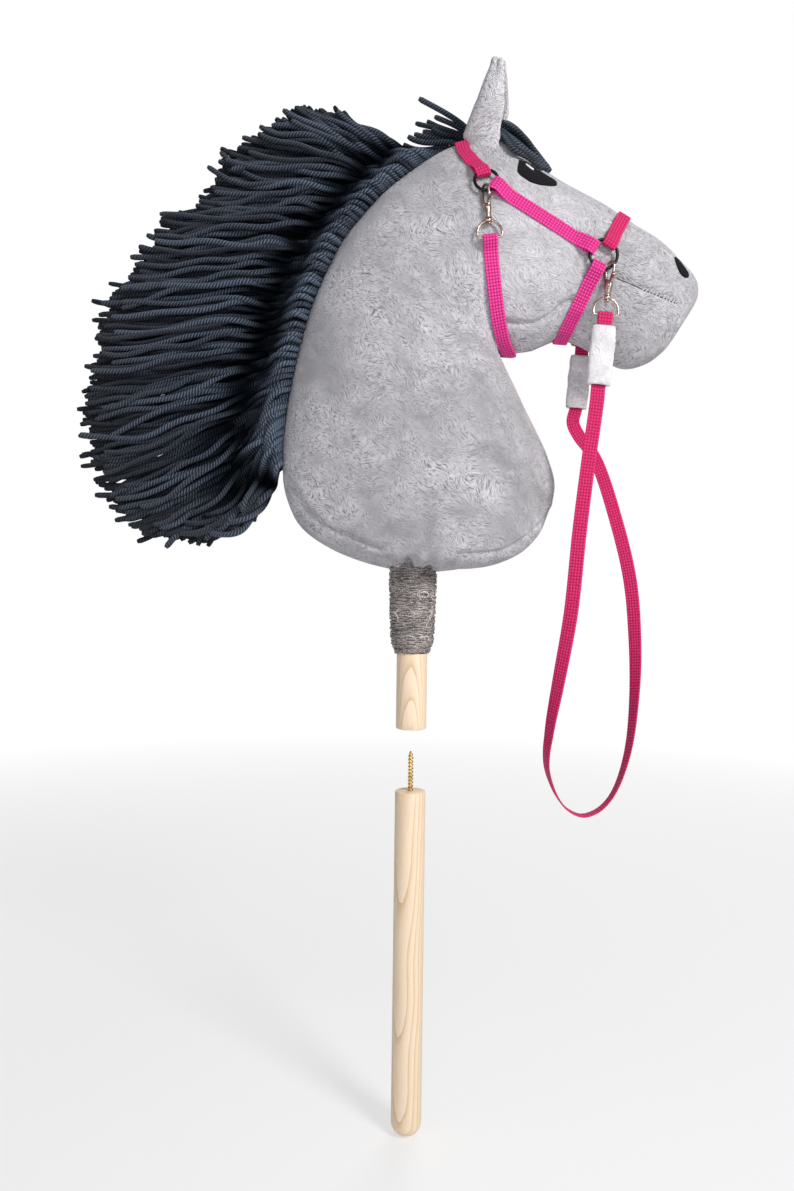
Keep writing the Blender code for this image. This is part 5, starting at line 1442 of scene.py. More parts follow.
def hookMesh():
    plan = metalPlan
    jaw, crown = plan["jaw"], plan["jawTop"] - plan["jaw"]
    points = [(-jaw * 0.62, 0, -0.0150), (-jaw * 0.86, 0, -0.0115), (-jaw, 0, -0.0070), (-jaw, 0, -0.0030)]
    points += [(jaw * math.cos(a), 0, crown + jaw * math.sin(a)) for a in np.linspace(math.pi, 0, 13)]
    points += [(jaw, 0, -0.0025), (jaw * 0.98, 0, -plan["nose"] + 0.0004)]
    wire = np.array(plan["jawWire"])
    radii = np.interp(np.linspace(0, 1, plan["jawSteps"]), wire[:, 0], wire[:, 1])
    parts = [sweep(smoothCurve(points, plan["jawSteps"]), radii, 14)]
    parts.append(stacked([[
        (shift + half * bulged(math.cos(turn), 0.62), depth * bulged(math.sin(turn), 0.62), height)
        for turn in circleTurns(28)] for height, half, depth, shift in plan["body"]], 50))
    low = -plan["bodyLow"]
    post = low - plan["gap"] * 2 - plan["eyeHeight"]
    button = [(radius, post - drop) for radius, drop in plan["button"]]
    parts.append(creased(lathe([(0, low + 0.001), (plan["post"], low + 0.001), (plan["post"], post)] + button,
                               20), 40))
    pin = lathe(plan["pin"], 16)
    pin.transform(Matrix.Translation(plan["pivot"]) @ Matrix.Rotation(math.pi / 2, 4, "X"))
    return joinMeshes("hook", parts + [creased(pin, 40)])


def deeMesh():
    plan = metalPlan
    half = plan["deeWidth"] / 2
    middle = -plan["bodyLow"] - plan["gap"] - plan["eyeHeight"] / 2
    low = middle - plan["deeHeight"]
    bow = plan["deeHeight"] - plan["shoulder"]
    points = [(half * math.cos(a), 0, low + plan["shoulder"] + bow * math.sin(a))
              for a in np.linspace(0, math.pi, 15)]
    points += [(half * share, 0, low + lift) for share, lift in (
        (-0.99, 0.0016), (-0.93, 0.0005), (-0.80, 0), (0, 0), (0.80, 0), (0.93, 0.0005), (0.99, 0.0016))]
    line = smoothCurve(points + points[:1], 97)[:-1]
    high, inner, outer = plan["eyeHeight"] / 2, plan["post"] + plan["gap"], plan["eyeRadius"]
    profile = [(inner, -high), (outer - 0.0005, -high), (outer - 0.0001, -high + 0.0004), (outer, 0),
               (outer - 0.0001, high - 0.0004), (outer - 0.0005, high), (inner, high)]
    eye = lathe([(radius, middle + height) for radius, height in profile], 26, closed=True)
    wire = sweep(line, plan["deeWire"], 14, closed=True, side=(0, 1, 0))
    return joinMeshes("dee", [wire, creased(eye, 45)])


def snapFrame(kind, name):
    origin, up, out = snapAxes(kind, name)
    matrix = Matrix([Vector(vector) for vector in (np.cross(out, up), out, up)]).transposed().to_4x4()
    matrix.translation = Vector(origin)
    turn = 180 - metalPlan["turn"] if out[1] < 0 else metalPlan["turn"]
    return matrix, matrix @ Matrix.Rotation(math.radians(turn), 4, "Z")


def placed(mesh, matrix):
    copy = mesh.copy()
    copy.transform(matrix)
    turnOut(copy)
    return copy


def makeMetal():
    hook, dee, gate = hookMesh(), deeMesh(), gateMesh()
    for kind, deeBody in (("throat", "head"), ("rein", "reins")):
        for _, name in sides:
            straight, turned = snapFrame(kind, name)
            for part, mesh, matrix in (("hook", hook, turned), ("gate", gate, turned),
                                       ("dee", dee, straight)):
                node = f"{kind}_{part}_{name}"
                addPiece(f"{kind}{part.title()}_{name}", placed(mesh, matrix), nickel,
                         deeBody if part == "dee" else node, "snap_nickel", node)
    for (level, name), ring in haltRings.items():
        start = unit(np.cross(ring.normal, upAxis))
        after = np.cross(ring.normal, start)
        circle = [ring.centre + ring.radius * (start * math.cos(turn) + after * math.sin(turn))
                  for turn in circleTurns(72)]
        node = f"{level}_ring_{name}"
        hoop = sweep(circle, metalPlan["ringWire"], 18, closed=True, side=ring.normal)
        addPiece(f"{level}Ring_{name}", hoop, blackMetal, node, "ring_black", node)


makeMetal()
print("rings and snap hooks hang in place")


# Sticks and screw

stickPlan = {
    "radius": 0.014, "upper": 0.400, "gap": 0.057, "lower": 0.315, "chamfer": 0.0015, "dome": 0.012,
    "domePower": 0.85, "domeSteps": 12, "around": 72, "upperSteps": 40, "lowerSteps": 36,
    "socket": (0.0032, 0.040), "socketEdge": 0.0004, "shank": (0.0024, 0.036), "shankRoom": 0.0002,
    "holeRoom": 0.0006,
}
screwPlan = {"pitch": 0.0032, "crest": 0.00275, "core": 0.0019, "shown": 0.038, "point": 0.006, "around": 40,
             "rows": 230, "sink": 0.0004, "narrow": 4.2, "round": 1.15, "pointPower": 0.85,
             "neck": (0.0012, 0.0008)}


def pineMaterial():
    material, tree, shader = newMaterial("palePine")
    point = objectPoint(tree)
    sway = noiseNode(tree, stretched(tree, point, (9.0, 9.0, 3.2)), 1.0)
    ripple = noiseNode(tree, stretched(tree, point, (70.0, 70.0, 9.0)), 1.0)
    # Year rings stand round a pith that lies beside the stick's own middle
    aside = [mathNode(tree, "SUBTRACT", parted(tree, point, axis), pith) for axis, pith in (
        ("X", 0.006), ("Y", 0.024))]
    far = mathNode(tree, "SQRT", weighted(tree, *((product(tree, value, value), 1) for value in aside)))
    far = weighted(tree, (far, 1), (product(tree, sway, 0.034), 1), (product(tree, ripple, 0.0018), 1))
    rings = mathNode(tree, "POWER", mathNode(tree, "FRACT", product(tree, far, 430.0)), 2.6)
    fibre = noiseNode(tree, stretched(tree, point, (1500.0, 1500.0, 60.0)), 1.0, 3.0)
    fleck = noiseNode(tree, stretched(tree, point, (3200.0, 3200.0, 420.0)), 1.0, 1.0)
    colour = rampNode(tree, rings, (0.0, (0.84, 0.67, 0.49)), (0.55, (0.77, 0.58, 0.39)),
                      (1.0, (0.60, 0.40, 0.22)))
    colour = mixColours(tree, spanNode(tree, fibre, 0.35, 0.75, 0.0, 0.30), colour, (0.92, 0.80, 0.64))
    colour = mixColours(tree, spanNode(tree, fleck, 0.66, 0.76, 0.0, 0.35), colour, (0.50, 0.33, 0.18))
    feed(tree, shader, {
        "Base Color": colour,
        "Normal": bumpNode(tree, weighted(tree, (rings, 0.5), (fibre, 1)), 0.25, 0.0003),
        "Roughness": spanNode(tree, fibre, 0.3, 0.7, 0.42, 0.6), "Specular IOR Level": 0.35})
    return material


def makeSticks():
    plan, pine = stickPlan, pineMaterial()
    radius, chamfer = plan["radius"], plan["chamfer"]
    bore, deep = plan["socket"]
    edge = plan["socketEdge"]
    length = plan["upper"]
    rise = np.linspace(chamfer, length - chamfer, plan["upperSteps"] + 1)
    upper = [(0, deep), (bore, deep), (bore, edge), (bore + edge, 0), (radius - chamfer, 0),
             (radius - 0.3 * chamfer, 0.3 * chamfer)]
    upper += [(radius, height) for height in rise] + [(radius - chamfer, length), (0, length)]
    top, low = -plan["gap"], -plan["gap"] - plan["lower"]
    shank, sunk = plan["shank"]
    shank, sunk = shank + plan["shankRoom"], sunk + plan["holeRoom"]
    fall = np.linspace(top - chamfer, low + plan["dome"], plan["lowerSteps"] + 1)
    lower = [(0, top - sunk), (shank, top - sunk), (shank, top), (radius - chamfer, top),
             (radius - 0.3 * chamfer, top - 0.3 * chamfer)] + [(radius, height) for height in fall]
    lower += [(radius * math.cos(a) ** plan["domePower"], low + plan["dome"] * (1 - math.sin(a)))
              for a in np.linspace(0, math.pi / 2, plan["domeSteps"])[1:-1]] + [(0, low)]
    for name, profile, body, node in (("upperStick", upper, "head", "upper_stick"),
                                      ("lowerStick", lower, "lower_half", "lower_stick")):
        addPiece(name, creased(lathe(profile, plan["around"]), 40), pine, body, "pine", node)


def makeScrew():
    # A right-handed thread that fades in above the wood and out at the point
    plan = screwPlan
    low = -stickPlan["gap"]
    tip = low + plan["shown"]
    around, core = plan["around"], plan["core"]
    shank, sunk = stickPlan["shank"]
    foot, rim = plan["neck"]
    stub = ((shank, low - sunk), (shank, low - foot), (core, low - rim))
    rings = [roundRing(*row, around) for row in stub]
    for height in np.linspace(low - plan["sink"], tip - plan["sink"], plan["rows"]):
        left = min(1.0, (tip - height) / plan["point"])
        ring = []
        for turn in circleTurns(around):
            phase = (height / plan["pitch"] - turn / (2 * math.pi)) % 1.0
            ridge = max(0.0, 1 - abs(phase - 0.5) * plan["narrow"]) ** plan["round"]
            reach = (core + (plan["crest"] - core) * ridge) * left ** plan["pointPower"]
            ring.append((reach * math.cos(turn), reach * math.sin(turn), height))
        rings.append(ring)
    faces = ringFaces(len(rings), around) + capFaces(len(rings), around)
    addPiece("stickScrew", meshFrom("screw", np.vstack(rings), faces), brass, "lower_half", "screw_brass",
             "stick_screw")


makeSticks()
makeScrew()
print("both sticks and the screw are turned")


# Binding: fine cord wound round the plush sleeve

bindPlan = {
    "profile": ((0.0690, 0.0152), (0.0735, 0.0166), (0.0780, 0.0187), (0.0860, 0.0197), (0.1050, 0.0205),
                (0.1280, 0.0211), (0.1400, 0.0215), (0.1502, 0.0211)),
    "under": 0.0017, "seed": 4, "perTurn": 44, "coreRoom": 0.0002, "coreLow": 0.0004, "coreHigh": 0.0003,
    # Each layer: cord radius, pitch, lift, stray, and which way it winds
    "layers": ((0.00080, 0.00195, 0.0000, 0.0014, 1), (0.00072, 0.0030, 0.0009, 0.0034, -1),
               (0.00060, 0.0048, 0.0014, 0.0062, 1)),
    # Loose pale threads that loop over the winding
    "loose": 34, "looseRadius": 0.00030, "looseSteps": 15, "looseStep": 0.0012, "looseLift": 0.0008,
    "looseFrom": (0.010, 0.012), "looseKeep": (0.004, 0.006), "looseBend": 0.20, "looseShake": 0.35,
}


def cordMaterial(name, low, high, glint, scale=1.0):
    material, tree, shader = newMaterial(name)
    point = objectPoint(tree)
    fibre = noiseNode(tree, stretched(tree, point, (240.0, 240.0, 1500.0)), scale, 4.0, 0.65)
    patch = noiseNode(tree, point, 90.0 * scale, 3.0)
    spark = noiseNode(tree, point, 1400.0 * scale)
    colour = rampNode(tree, weighted(tree, (fibre, 0.65), (patch, 0.35)), (0.38, low), (0.60, high))
    feed(tree, shader, {
        "Base Color": mixColours(tree, spanNode(tree, spark, 0.56, 0.68, 0.0, 0.85), colour, glint),
        "Normal": bumpNode(tree, fibre, 0.8, 0.0006), "Sheen Weight": 0.1,
        "Roughness": spanNode(tree, spark, 0.4, 0.7, 0.50, 0.26)})
    return material


twine = cordMaterial("greyTwine", (0.018, 0.014, 0.013), (0.37, 0.315, 0.30), (0.98, 0.95, 0.93))
paleThread = cordMaterial("paleThread", (0.40, 0.36, 0.35), (0.85, 0.82, 0.80), (1.0, 0.98, 0.96))


def windings(heights, reaches):
    plan = bindPlan
    low, high = heights[0], heights[-1]
    meshes = []
    for index, (radius, pitch, lift, stray, way) in enumerate(plan["layers"]):
        room = high - low - 2 * radius
        turns = room / pitch
        points = []
        for share in np.linspace(0, 1, int(turns * plan["perTurn"]) + 1):
            turn = 2 * math.pi * turns * share * way + index
            cosine, sine = math.cos(turn), math.sin(turn)
            height = low + radius + room * share
            wander = noise.noise(Vector((3 * cosine, 3 * sine, height * 420 + 9 * index)))
            slow = noise.noise(Vector((index * 5.0, height * 260, 2.0)))
            bend = math.sin(turn + slow * 5) * slow
            height = clipped(height + stray * (0.7 * wander + 0.9 * bend), low + radius, high - radius)
            depth = noise.noise(Vector((2 * cosine, 2 * sine, height * 900 + 30 * index)))
            reach = np.interp(height, heights, reaches) - radius + lift * 0.6 + 0.00060 * depth
            points.append((reach * cosine, reach * sine, height))
        meshes.append(sweep(points, radius, 6))
    return meshes


def makeBinding():
    plan = bindPlan
    heights, reaches = np.array(plan["profile"]).T
    low, high = heights[0], heights[-1]
    pick = random.Random(plan["seed"])
    body = [(reach - plan["under"], height) for height, reach in zip(heights, reaches)]
    inner = stickPlan["radius"] + plan["coreRoom"]
    top = high - plan["coreHigh"]
    profile = [(inner, low + plan["coreLow"])] + body[1:-1] + [(body[-1][0], top), (inner, top)]
    wound = joinMeshes("binding", windings(heights, reaches) + [lathe(profile, 60, closed=True)])
    addPiece("neckBinding", wound, twine, "head", "twine", "neck_binding")
    threads = []
    for _ in range(plan["loose"]):
        turn, heading = pick.uniform(0, 2 * math.pi), pick.uniform(0, 2 * math.pi)
        height = pick.uniform(low + plan["looseFrom"][0], high - plan["looseFrom"][1])
        bend = pick.uniform(-plan["looseBend"], plan["looseBend"])
        points = []
        for _ in range(plan["looseSteps"]):
            reach = np.interp(height, heights, reaches) + plan["looseLift"]
            points.append((reach * math.cos(turn), reach * math.sin(turn), height))
            turn += plan["looseStep"] * math.cos(heading) / reach
            height = clipped(height + 0.55 * plan["looseStep"] * math.sin(heading),
                             low + plan["looseKeep"][0], high - plan["looseKeep"][1])
            heading += bend + pick.uniform(-plan["looseShake"], plan["looseShake"])
        threads.append(sweep(smoothCurve(points, 50), plan["looseRadius"], 6))
    addPiece("bindingThreads", joinMeshes("threads", threads), paleThread, "head", "thread")


makeBinding()
print("the neck is bound")


# Mane and forelock: three-ply yarn laid over a path per strand

manePlan = {
    # Root and tip of the outermost strands, from the ears down the neck
    "roots": [
        ((0.015, 0.528), (-0.062, 0.553)), ((0.006, 0.521), (-0.110, 0.567)),
        ((-0.010, 0.510), (-0.176, 0.526)), ((-0.035, 0.489), (-0.203, 0.482)),
        ((-0.062, 0.457), (-0.247, 0.447)), ((-0.079, 0.428), (-0.268, 0.408)),
        ((-0.092, 0.402), (-0.290, 0.384)), ((-0.102, 0.370), (-0.296, 0.338)),
        ((-0.109, 0.339), (-0.304, 0.296)), ((-0.115, 0.305), (-0.300, 0.242)),
        ((-0.120, 0.276), (-0.266, 0.184)), ((-0.121, 0.258), (-0.204, 0.170)),
        ((-0.121, 0.242), (-0.158, 0.190)),
    ],
    "radius": 0.0025, "step": 0.0027, "sides": 8, "seed": 11, "points": 52,
    "handle": 0.030, "rootSink": 0.0030,
    "knots": (0.0, 0.021, 0.060, 0.102), "fullLength": 0.15,
    # Distance off the middle at root, hump, valley, far part and tip
    "layers": (
        {"count": 66, "off": (-0.0060, -0.0175, 0.0070, -0.0165, -0.0105), "short": 0.12, "stray": 0.0100},
        {"count": 74, "off": (-0.0035, -0.0125, 0.0095, -0.0105, -0.0065), "short": 0.08, "stray": 0.0085},
        {"count": 176, "off": (-0.0010, -0.0060, 0.0118, -0.0035, -0.0020), "short": 0.04, "stray": 0.0030},
        {"count": 176, "off": (0.0010, 0.0010, 0.0136, 0.0035, 0.0020), "short": 0.04, "stray": 0.0030},
        {"count": 74, "off": (0.0035, 0.0070, 0.0155, 0.0105, 0.0060), "short": 0.08, "stray": 0.0085},
        {"count": 66, "off": (0.0060, 0.0140, 0.0172, 0.0165, 0.0105), "short": 0.13, "stray": 0.0100},
        {"count": 84, "off": (0.0, -0.0030, 0.0126, 0.0, 0.0), "short": 0.03, "stray": 0.0022, "from": 0.42},
    ),
    # Share of the way down the neck and the strands' direction there, in degrees
    "startAngle": ((0.0, 182), (0.07, 173), (0.13, 160), (0.25, 151), (0.47, 172), (0.78, 188), (0.92, 196),
                   (1.0, 214)),
    "endAngle": ((0.0, 160), (0.07, 145), (0.13, 161), (0.27, 180), (0.47, 183), (0.78, 184), (0.9, 198),
                 (1.0, 222)),
    # Low down the strands nearest the eye fall across the others: how far their tips move on
    "fallFrom": 0.62, "fallOver": 0.12, "fall": (0.14, 0.04, 0.0, 0.0, 0.03, 0.06, 0.0),
    # There the strands nearest the eye also turn down sooner, over a wider hump
    "turnDown": (20, 13, 0, 0, 0, 0, 0), "widerHump": 0.36,
    # How far strands part sideways: at least, how much more low down, from where and over what share
    "apart": (0.0030, 0.0026, 0.72, 0.12),
    "longChance": 0.07, "longer": 0.045, "wave": 0.0018, "waveLength": (0.045, 0.095),
    "bellyChance": 0.14, "bellyTimes": 2.4, "curlChance": 0.30, "curl": 0.012,
    # Strands behind the ears: root x and y, tip x, y and z
    "behindEar": ((0.056, 0.010, 0.000, 0.012, 0.587), (0.054, 0.012, 0.015, 0.016, 0.5725),
                  (0.050, 0.007, 0.0077, 0.010, 0.565), (0.047, 0.003, -0.003, 0.006, 0.5605),
                  (0.050, 0.014, 0.021, 0.018, 0.562), (0.043, 0.001, 0.012, 0.002, 0.5535),
                  (0.040, 0.006, -0.004, 0.008, 0.5515), (0.035, 0.000, -0.010, 0.002, 0.546),
                  (0.030, 0.004, -0.014, 0.005, 0.5405), (0.045, 0.009, 0.004, 0.012, 0.556),
                  (0.048, 0.003, -0.004, 0.004, 0.5285), (0.042, -0.001, 0.000, -0.002, 0.5265),
                  (0.046, 0.006, 0.002, 0.008, 0.5345)),
    "behindEarAfter": 4, "replaced": {0: ("mane",), 2: ("mane_band",)},
}
forelockPlan = {"count": 27, "seed": 9, "rootX": 0.047, "rootY": (-0.006, 0.005),
                "right": 0.0335, "left": 0.012,
                "shake": 0.002, "low": 0.0015, "high": 0.0175, "end": (0.106, 0.013), "sway": 0.003,
                "skinRise": 0.0026, "spreadFrom": 0.064, "spreadOver": 0.018, "gather": 0.36}
# The valley behind the crest lies in shade: its distance along a strand, or share of it, and its half width
yarnPly = {"plies": 3, "pitch": 0.0086, "depth": 0.0011, "valley": 0.059, "valleyShare": 0.393,
           "half": 0.021, "lowValley": 0.016}


def yarnTree():
    tree = bpy.data.node_groups.new("yarnStrands", "GeometryNodeTree")
    for name, kind in (("Geometry", "Geometry"), ("Step", "Float"), ("Radius", "Float"), ("Sides", "Int"),
                       ("Seed", "Int"), ("Material", "Material")):
        tree.interface.new_socket(name, in_out="INPUT", socket_type="NodeSocket" + kind)
    tree.interface.new_socket("Geometry", in_out="OUTPUT", socket_type="NodeSocketGeometry")
    given = addNode(tree, "NodeGroupInput").outputs

    def step(kind, inputs, **settings):
        return addNode(tree, kind, inputs, **settings).outputs[0]

    def stored(geometry, name, value, domain="POINT"):
        return step("GeometryNodeStoreNamedAttribute", {"Geometry": geometry, "Name": name, "Value": value},
                    data_type="FLOAT", domain=domain)

    lines = step("GeometryNodeMeshToCurve", {"Mesh": given["Geometry"]})
    lines = step("GeometryNodeResampleCurve", {"Curve": lines, "Length": given["Step"]}, mode="LENGTH")
    along = addNode(tree, "GeometryNodeSplineParameter").outputs
    chance = addNode(tree, "FunctionNodeRandomValue", {"Seed": given["Seed"]},
                     data_type="FLOAT").outputs["Value"]
    shareLeft = mathNode(tree, "MINIMUM", along["Factor"], mathNode(tree, "SUBTRACT", 1.0, along["Factor"]))
    taper = mathNode(tree, "ADD", 0.70, product(tree, shareLeft, 20.0))
    grown = addNode(tree, "FunctionNodeRandomValue", {2: 0.88, 3: 1.10, "Seed": given["Seed"]},
                    data_type="FLOAT").outputs["Value"]
    perStrand = step("GeometryNodeFieldOnDomain", {0: grown}, domain="CURVE")
    taper = product(tree, mathNode(tree, "MINIMUM", taper, 1.0), perStrand)
    lines = step("GeometryNodeSetCurveRadius", {"Curve": lines, "Radius": taper})
    lines = stored(lines, "strand", chance, "CURVE")
    lines = stored(lines, "reach", along["Factor"])
    lines = stored(lines, "run", along["Length"])
    circle = step("GeometryNodeCurvePrimitiveCircle",
                  {"Resolution": given["Sides"], "Radius": given["Radius"]},
                  mode="RADIUS")
    index = step("GeometryNodeInputIndex", {})
    turn = product(tree, mathNode(tree, "DIVIDE", index, given["Sides"]), 2 * math.pi)
    circle = stored(circle, "plyX", mathNode(tree, "COSINE", turn))
    circle = stored(circle, "plyY", mathNode(tree, "SINE", turn))
    node = addNode(tree, "GeometryNodeCurveToMesh",
                   {"Curve": lines, "Profile Curve": circle, "Fill Caps": True})
    if "Scale" in node.inputs:
        feed(tree, node, {"Scale": step("GeometryNodeInputRadius", {})})
    smooth = step("GeometryNodeSetShadeSmooth", {"Geometry": node.outputs[0]})
    real = step("GeometryNodeRealizeInstances", {"Geometry": smooth})
    dressed = step("GeometryNodeSetMaterial", {"Geometry": real, "Material": given["Material"]})
    addNode(tree, "NodeGroupOutput", {0: dressed})
    return tree


yarnNodes = yarnTree()


def yarnMaterial(name, shade):
    material, tree, shader = newMaterial(name)
    point = objectPoint(tree)
    strand, reach, run = (attributeValue(tree, kind) for kind in ("strand", "reach", "run"))
    # The plies wind round the strand: turn about it and distance along it
    turn = mathNode(tree, "ARCTAN2", attributeValue(tree, "plyY"), attributeValue(tree, "plyX"))
    wound = weighted(tree, (run, 2 * math.pi / yarnPly["pitch"]), (strand, 2 * math.pi))
    phase = product(tree, mathNode(tree, "ADD", turn, wound), yarnPly["plies"] / 2)
    ply = mathNode(tree, "POWER", mathNode(tree, "ABSOLUTE", mathNode(tree, "SINE", phase)), 1.5)
    fuzz = noiseNode(tree, point, 2600.0)
    # Painted highlight and shade: each ply is lighter on its top and darker in its grooves; the crest of the
    # neck catches more light than the far part
    level = weighted(tree, (noiseNode(tree, point, 900.0, 4.0, 0.6), 0.30), (strand, 0.30), (ply, 0.46),
                     (spanNode(tree, run, 0.028, 0.060, 0.045, -0.070), 1))
    colour = rampNode(tree, level, (0.28, (0.0022, 0.0032, 0.0060)), (0.52, (0.013, 0.0188, 0.031)),
                      (0.82, (0.112, 0.149, 0.212)))
    # Shade between the layers and in the valley
    beside = mathNode(tree, "ABSOLUTE", parted(tree, point, "Y"))
    inside = spanNode(tree, beside, 0.003, 0.014, 0.80 * shade, 0.0)
    colour = mixColours(tree, inside, colour, (0.0030, 0.0040, 0.0060))
    whole = mathNode(tree, "DIVIDE", run, mathNode(tree, "MAXIMUM", reach, 0.001))
    middle = mathNode(tree, "MINIMUM", yarnPly["valley"], product(tree, whole, yarnPly["valleyShare"]))
    lower = spanNode(tree, parted(tree, point, "Z"), 0.26, 0.35, yarnPly["lowValley"], 0.0)
    away = mathNode(tree, "SUBTRACT", run, mathNode(tree, "ADD", middle, lower))
    away = mathNode(tree, "DIVIDE", away, yarnPly["half"])
    fall = product(tree, mathNode(tree, "EXPONENT", product(tree, away, away, -1.0)), shade)
    colour = mixColours(tree, fall, colour, (0.0012, 0.0018, 0.0030))
    colour = mixColours(tree, spanNode(tree, reach, 0.6, 1.0, 0.0, 0.20), colour, (0.070, 0.066, 0.070))
    lit = product(tree, *(mathNode(tree, "SUBTRACT", 1.0, value) for value in (fall, inside)))
    feed(tree, shader, {
        "Base Color": colour, "Roughness": spanNode(tree, fuzz, 0.3, 0.7, 0.52, 0.76),
        "Normal": bumpNode(tree, weighted(tree, (ply, 1), (fuzz, 0.30)), 1.0, yarnPly["depth"]),
        "Specular IOR Level": product(tree, lit, 0.32), "Sheen Weight": product(tree, lit, 0.13),
        "Sheen Roughness": 0.45, "Sheen Tint": (0.55, 0.72, 0.95)})
    return material


maneYarn = yarnMaterial("maneYarn", 0.95)
tuftYarn = yarnMaterial("tuftYarn", 0.42)
forelockYarn = yarnMaterial("forelockYarn", 0.0)


def yarnMesh(name, strands, seed, material):
    plan = manePlan
    points, edges = [], []
    for strand in strands:
        first = len(points)
        points += [tuple(map(float, point)) for point in strand]
        edges += [(first + k, first + k + 1) for k in range(len(strand) - 1)]
    lines = bpy.data.meshes.new(name + "Lines")
    lines.from_pydata(points, edges, [])
    obj = linked(name + "Lines", lines)
    modifier = obj.modifiers.new("yarn", "NODES")
    modifier.node_group = yarnNodes
    values = {"Step": plan["step"], "Radius": plan["radius"], "Sides": plan["sides"], "Seed": seed,
              "Material": material}
    for item in yarnNodes.interface.items_tree:
        if item.in_out == "INPUT" and item.name in values:
            modifier[item.identifier] = values[item.name]
    made = evaluatedMesh(obj)
    bpy.data.objects.remove(obj, do_unlink=True)
    turnOut(made)
    made.shade_smooth()
    return made


def bezier(p0, p1, p2, p3, count):
    t = np.linspace(0, 1, count)[:, None]
    return (1 - t) ** 3 * p0 + 3 * (1 - t) ** 2 * t * p1 + 3 * (1 - t) * t ** 2 * p2 + t ** 3 * p3


def eased(places, values, where):
    # Cosine steps from one knot to the next, level at each
    result = np.full(len(where), values[-1], float)
    for a, b, low, high in zip(places[:-1], places[1:], values[:-1], values[1:]):
        inside = (where >= a) & (where < b)
        part = (1 - np.cos(math.pi * (where[inside] - a) / (b - a))) / 2
        result[inside] = low + (high - low) * part
    return result


def tableAngle(key, share):
    knots = np.array(manePlan[key])
    return np.interp(share, knots[:, 0], knots[:, 1])


maneRows = smoothCurve([(*root, *tip) for root, tip in manePlan["roots"]], 160)
maneShares = runLengths(maneRows)
maneShares /= maneShares[-1]


def maneStrand(share, layer, index, pick):
    plan = manePlan
    low = clipped((share - plan["fallFrom"]) / plan["fallOver"])
    fall = plan["fall"][index] * low
    root = valueAt(share, maneShares, maneRows[:, :2])
    run = valueAt(min(1.0, share + fall), maneShares, maneRows[:, 2:]) - root
    length = np.linalg.norm(run)
    wide = noise.noise(Vector((share * 12.0, index * 3.1, 0.0)))
    clump = noise.noise(Vector((share * 34.0, index * 5.3, 4.0)))
    cut = 1 - layer["short"] * pick.random() - 0.07 * pick.random() ** 2 + 0.03 * clump
    if pick.random() < plan["longChance"]:
        cut += plan["longer"]
    sideways = np.array([-run[1], run[0]]) / length
    calm = clipped(min(share, 1 - share) / 0.12, 0.3) * layer["stray"]
    tip = root + run * cut + sideways * calm * (0.9 * wide + 0.7 * clump + pick.uniform(-1, 1))
    first = math.radians(tableAngle("startAngle", share) + 6 * clump + 7 * pick.uniform(-1, 1))
    first += math.radians(plan["turnDown"][index] * low)
    last = math.radians(tableAngle("endAngle", share) + 9 * wide + 10 * pick.uniform(-1, 1))
    ahead, behind = (np.array([math.cos(angle), math.sin(angle)]) for angle in (first, last))
    root = root - ahead * plan["rootSink"]
    handle = min(0.34 * length, (plan["handle"] + 0.10 * fall) * pick.uniform(0.85, 1.15))
    flat = bezier(root, root + ahead * handle, tip - behind * length * 0.42, tip, plan["points"])
    # Waves, one wide bow and a curl at the tip
    t = np.linspace(0, 1, plan["points"])
    away = t * length
    grow = np.clip((away - 0.01) / 0.03, 0, 1)
    waveLength = pick.uniform(*plan["waveLength"])
    phase = pick.uniform(0, 6.28)
    bend = plan["wave"] * np.sin(2 * math.pi * away / waveLength + phase)
    belly = pick.uniform(-1, 1) * (plan["bellyTimes"] if pick.random() < plan["bellyChance"] else 1.0)
    bend = bend + calm * 0.9 * belly * np.sin(math.pi * t) ** 1.5
    curl = pick.uniform(-1, 1) if pick.random() < plan["curlChance"] else 0.0
    bend = bend + plan["curl"] * curl * np.clip((t - 0.80) / 0.20, 0, 1) ** 2
    flat = flat + sideways * (bend * grow)[:, None]
    # Off the middle: out over the hump, in at the valley and out again
    wider = 1 + plan["widerHump"] * low * clipped((1 - share) / 0.10)
    scale = min(1.0, length / plan["fullLength"])
    places = [place * scale * wider for place in plan["knots"]] + [length]
    y = eased(places, layer["off"], away) * min(1.0, 0.35 + share / 0.20)
    least, more, start, over = plan["apart"]
    apart = least + more * clipped((share - start) / over)
    y = y + apart * pick.uniform(-1, 1) * np.clip(away / 0.014, 0, 1)
    y = y + grow * (0.0018 * clump + 0.0014 * np.sin(2 * math.pi * away / waveLength * 0.8 + 2 * phase))
    return np.column_stack([flat[:, 0], y, flat[:, 1]])


def crestHeight(x):
    tops = [station[0] for station in skinPlan["stations"]]
    spans = [(a, b) for a, b in zip(tops[:-1], tops[1:]) if a[1] > 0.4]
    (x0, z0), (x1, z1) = min(spans, key=lambda span: abs((span[0][0] + span[1][0]) / 2 - x))
    return z0 + (z1 - z0) * (x - x0) / (x1 - x0)


def earTuft(pick):
    tuft = []
    for x, y, *tip in manePlan["behindEar"]:
        root, tip = np.array([x, y, crestHeight(x)]), np.array(tip)
        bow = pick.uniform(-0.004, 0.004)
        rise = 0.006 + 0.3 * (tip[2] - root[2])
        tuft.append(bezier(root, root + np.array([-0.006, 0.0, rise]),
                           tip + np.array([0.018, bow, -0.007 - bow]), tip, 18))
    return tuft


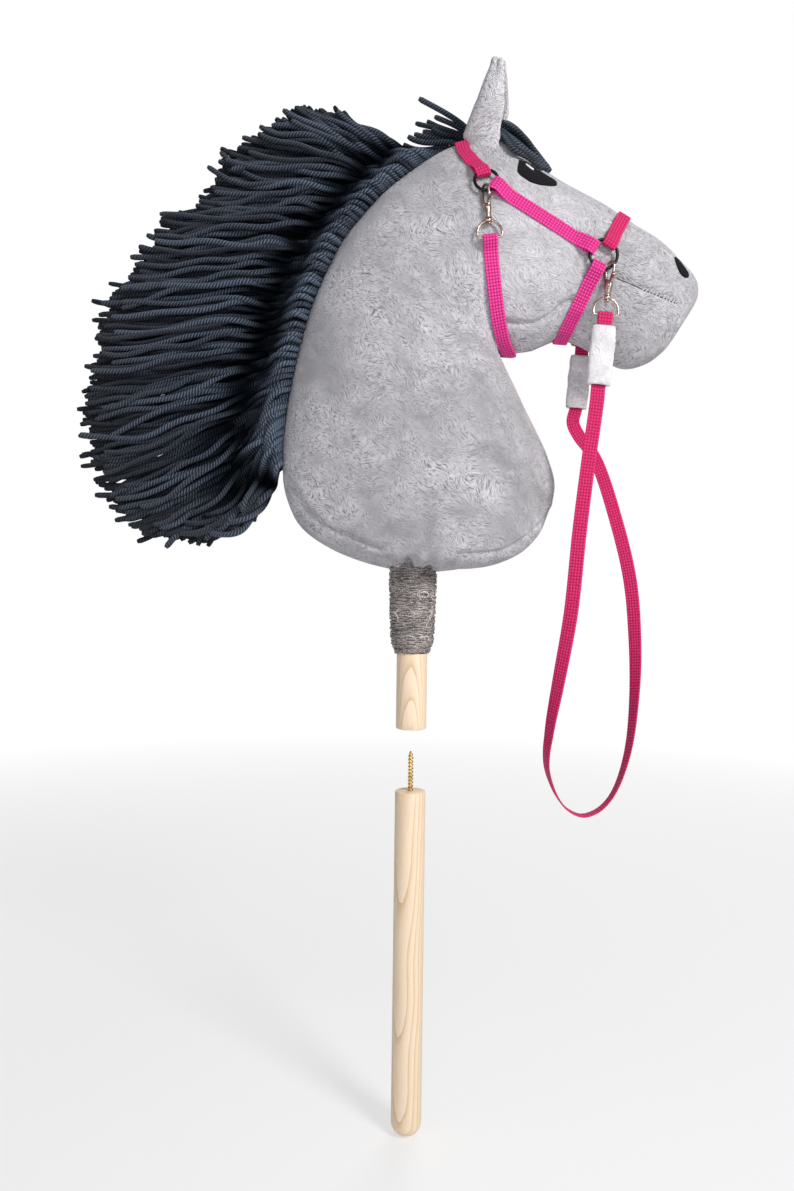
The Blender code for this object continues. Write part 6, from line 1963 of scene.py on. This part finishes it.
def forelockStrand(spread, pick):
    # The forelock falls forward and to the right
    plan = forelockPlan
    y0 = pick.uniform(*plan["rootY"])
    y1 = (plan["right"] if spread < 0 else plan["left"]) * spread
    y1 += pick.uniform(-plan["shake"], plan["shake"])
    lift = plan["low"] + plan["high"] * pick.random() * (1 - 0.85 * abs(spread))
    end = plan["end"][0] + plan["end"][1] * pick.random()
    sway = pick.uniform(-plan["sway"], plan["sway"])
    points = []
    for share in np.linspace(0, 1, 12):
        x = plan["rootX"] + (end - plan["rootX"]) * share
        rise = plan["skinRise"] + lift * math.sin(math.pi * min(1.0, 0.10 + share * 0.94)) ** 0.8
        out = clipped((x - plan["spreadFrom"]) / plan["spreadOver"]) ** 0.8
        out *= 1 - plan["gather"] * max(0.0, share - 0.60) / 0.40
        y = y0 + (y1 - y0) * out + sway * math.sin(2 * math.pi * share)
        hit, normal, _, _ = skinTree.ray_cast(Vector((x, y, 1.0)), Vector((0, 0, -1)))
        points.append(np.array(hit) + facing(normal, upAxis) * rise)
    return smoothCurve(points, 34)


def makeMane():
    plan = manePlan
    pick = random.Random(plan["seed"])
    for index, layer in enumerate(plan["layers"]):
        start = layer.get("from", 0.0)
        strands = []
        for k in range(layer["count"]):
            share = (k + 0.25 * (index % 2) + 0.22 * pick.uniform(-1, 1)) / (layer["count"] - 1)
            strands.append(maneStrand(clipped(start + share * (1 - start)), layer, index, pick))
        if index == plan["behindEarAfter"]:
            tuft = earTuft(pick)
        mesh = yarnMesh("mane", strands, index, maneYarn)
        print("mane layer", index + 1, "has", len(strands), "strands and", 2 * len(mesh.polygons),
              "triangles")
        addPiece(f"maneLayer{index + 1}", mesh, None, "head", "yarn", *plan["replaced"].get(index, ()))
    addPiece("maneTuft", yarnMesh("maneTuft", tuft, len(plan["layers"]), tuftYarn), None, "head", "yarn")
    strands = [forelockStrand(spread, pick) for spread in np.linspace(-1, 1, forelockPlan["count"])]
    mesh = yarnMesh("forelock", strands, forelockPlan["seed"], forelockYarn)
    addPiece("forelock", mesh, None, "head", "yarn", "forelock")


makeMane()
print("mane and forelock are laid")


# The glue round the screw is kept from the model, with a material of its own kind

driedGlue = cordMaterial("driedGlue", (0.34, 0.25, 0.13), (0.55, 0.44, 0.28), (0.72, 0.62, 0.46), 0.5)
glueMesh = frame["nodes"]["screw_glue"].data
glueMesh.materials.clear()
glueMesh.materials.append(driedGlue)
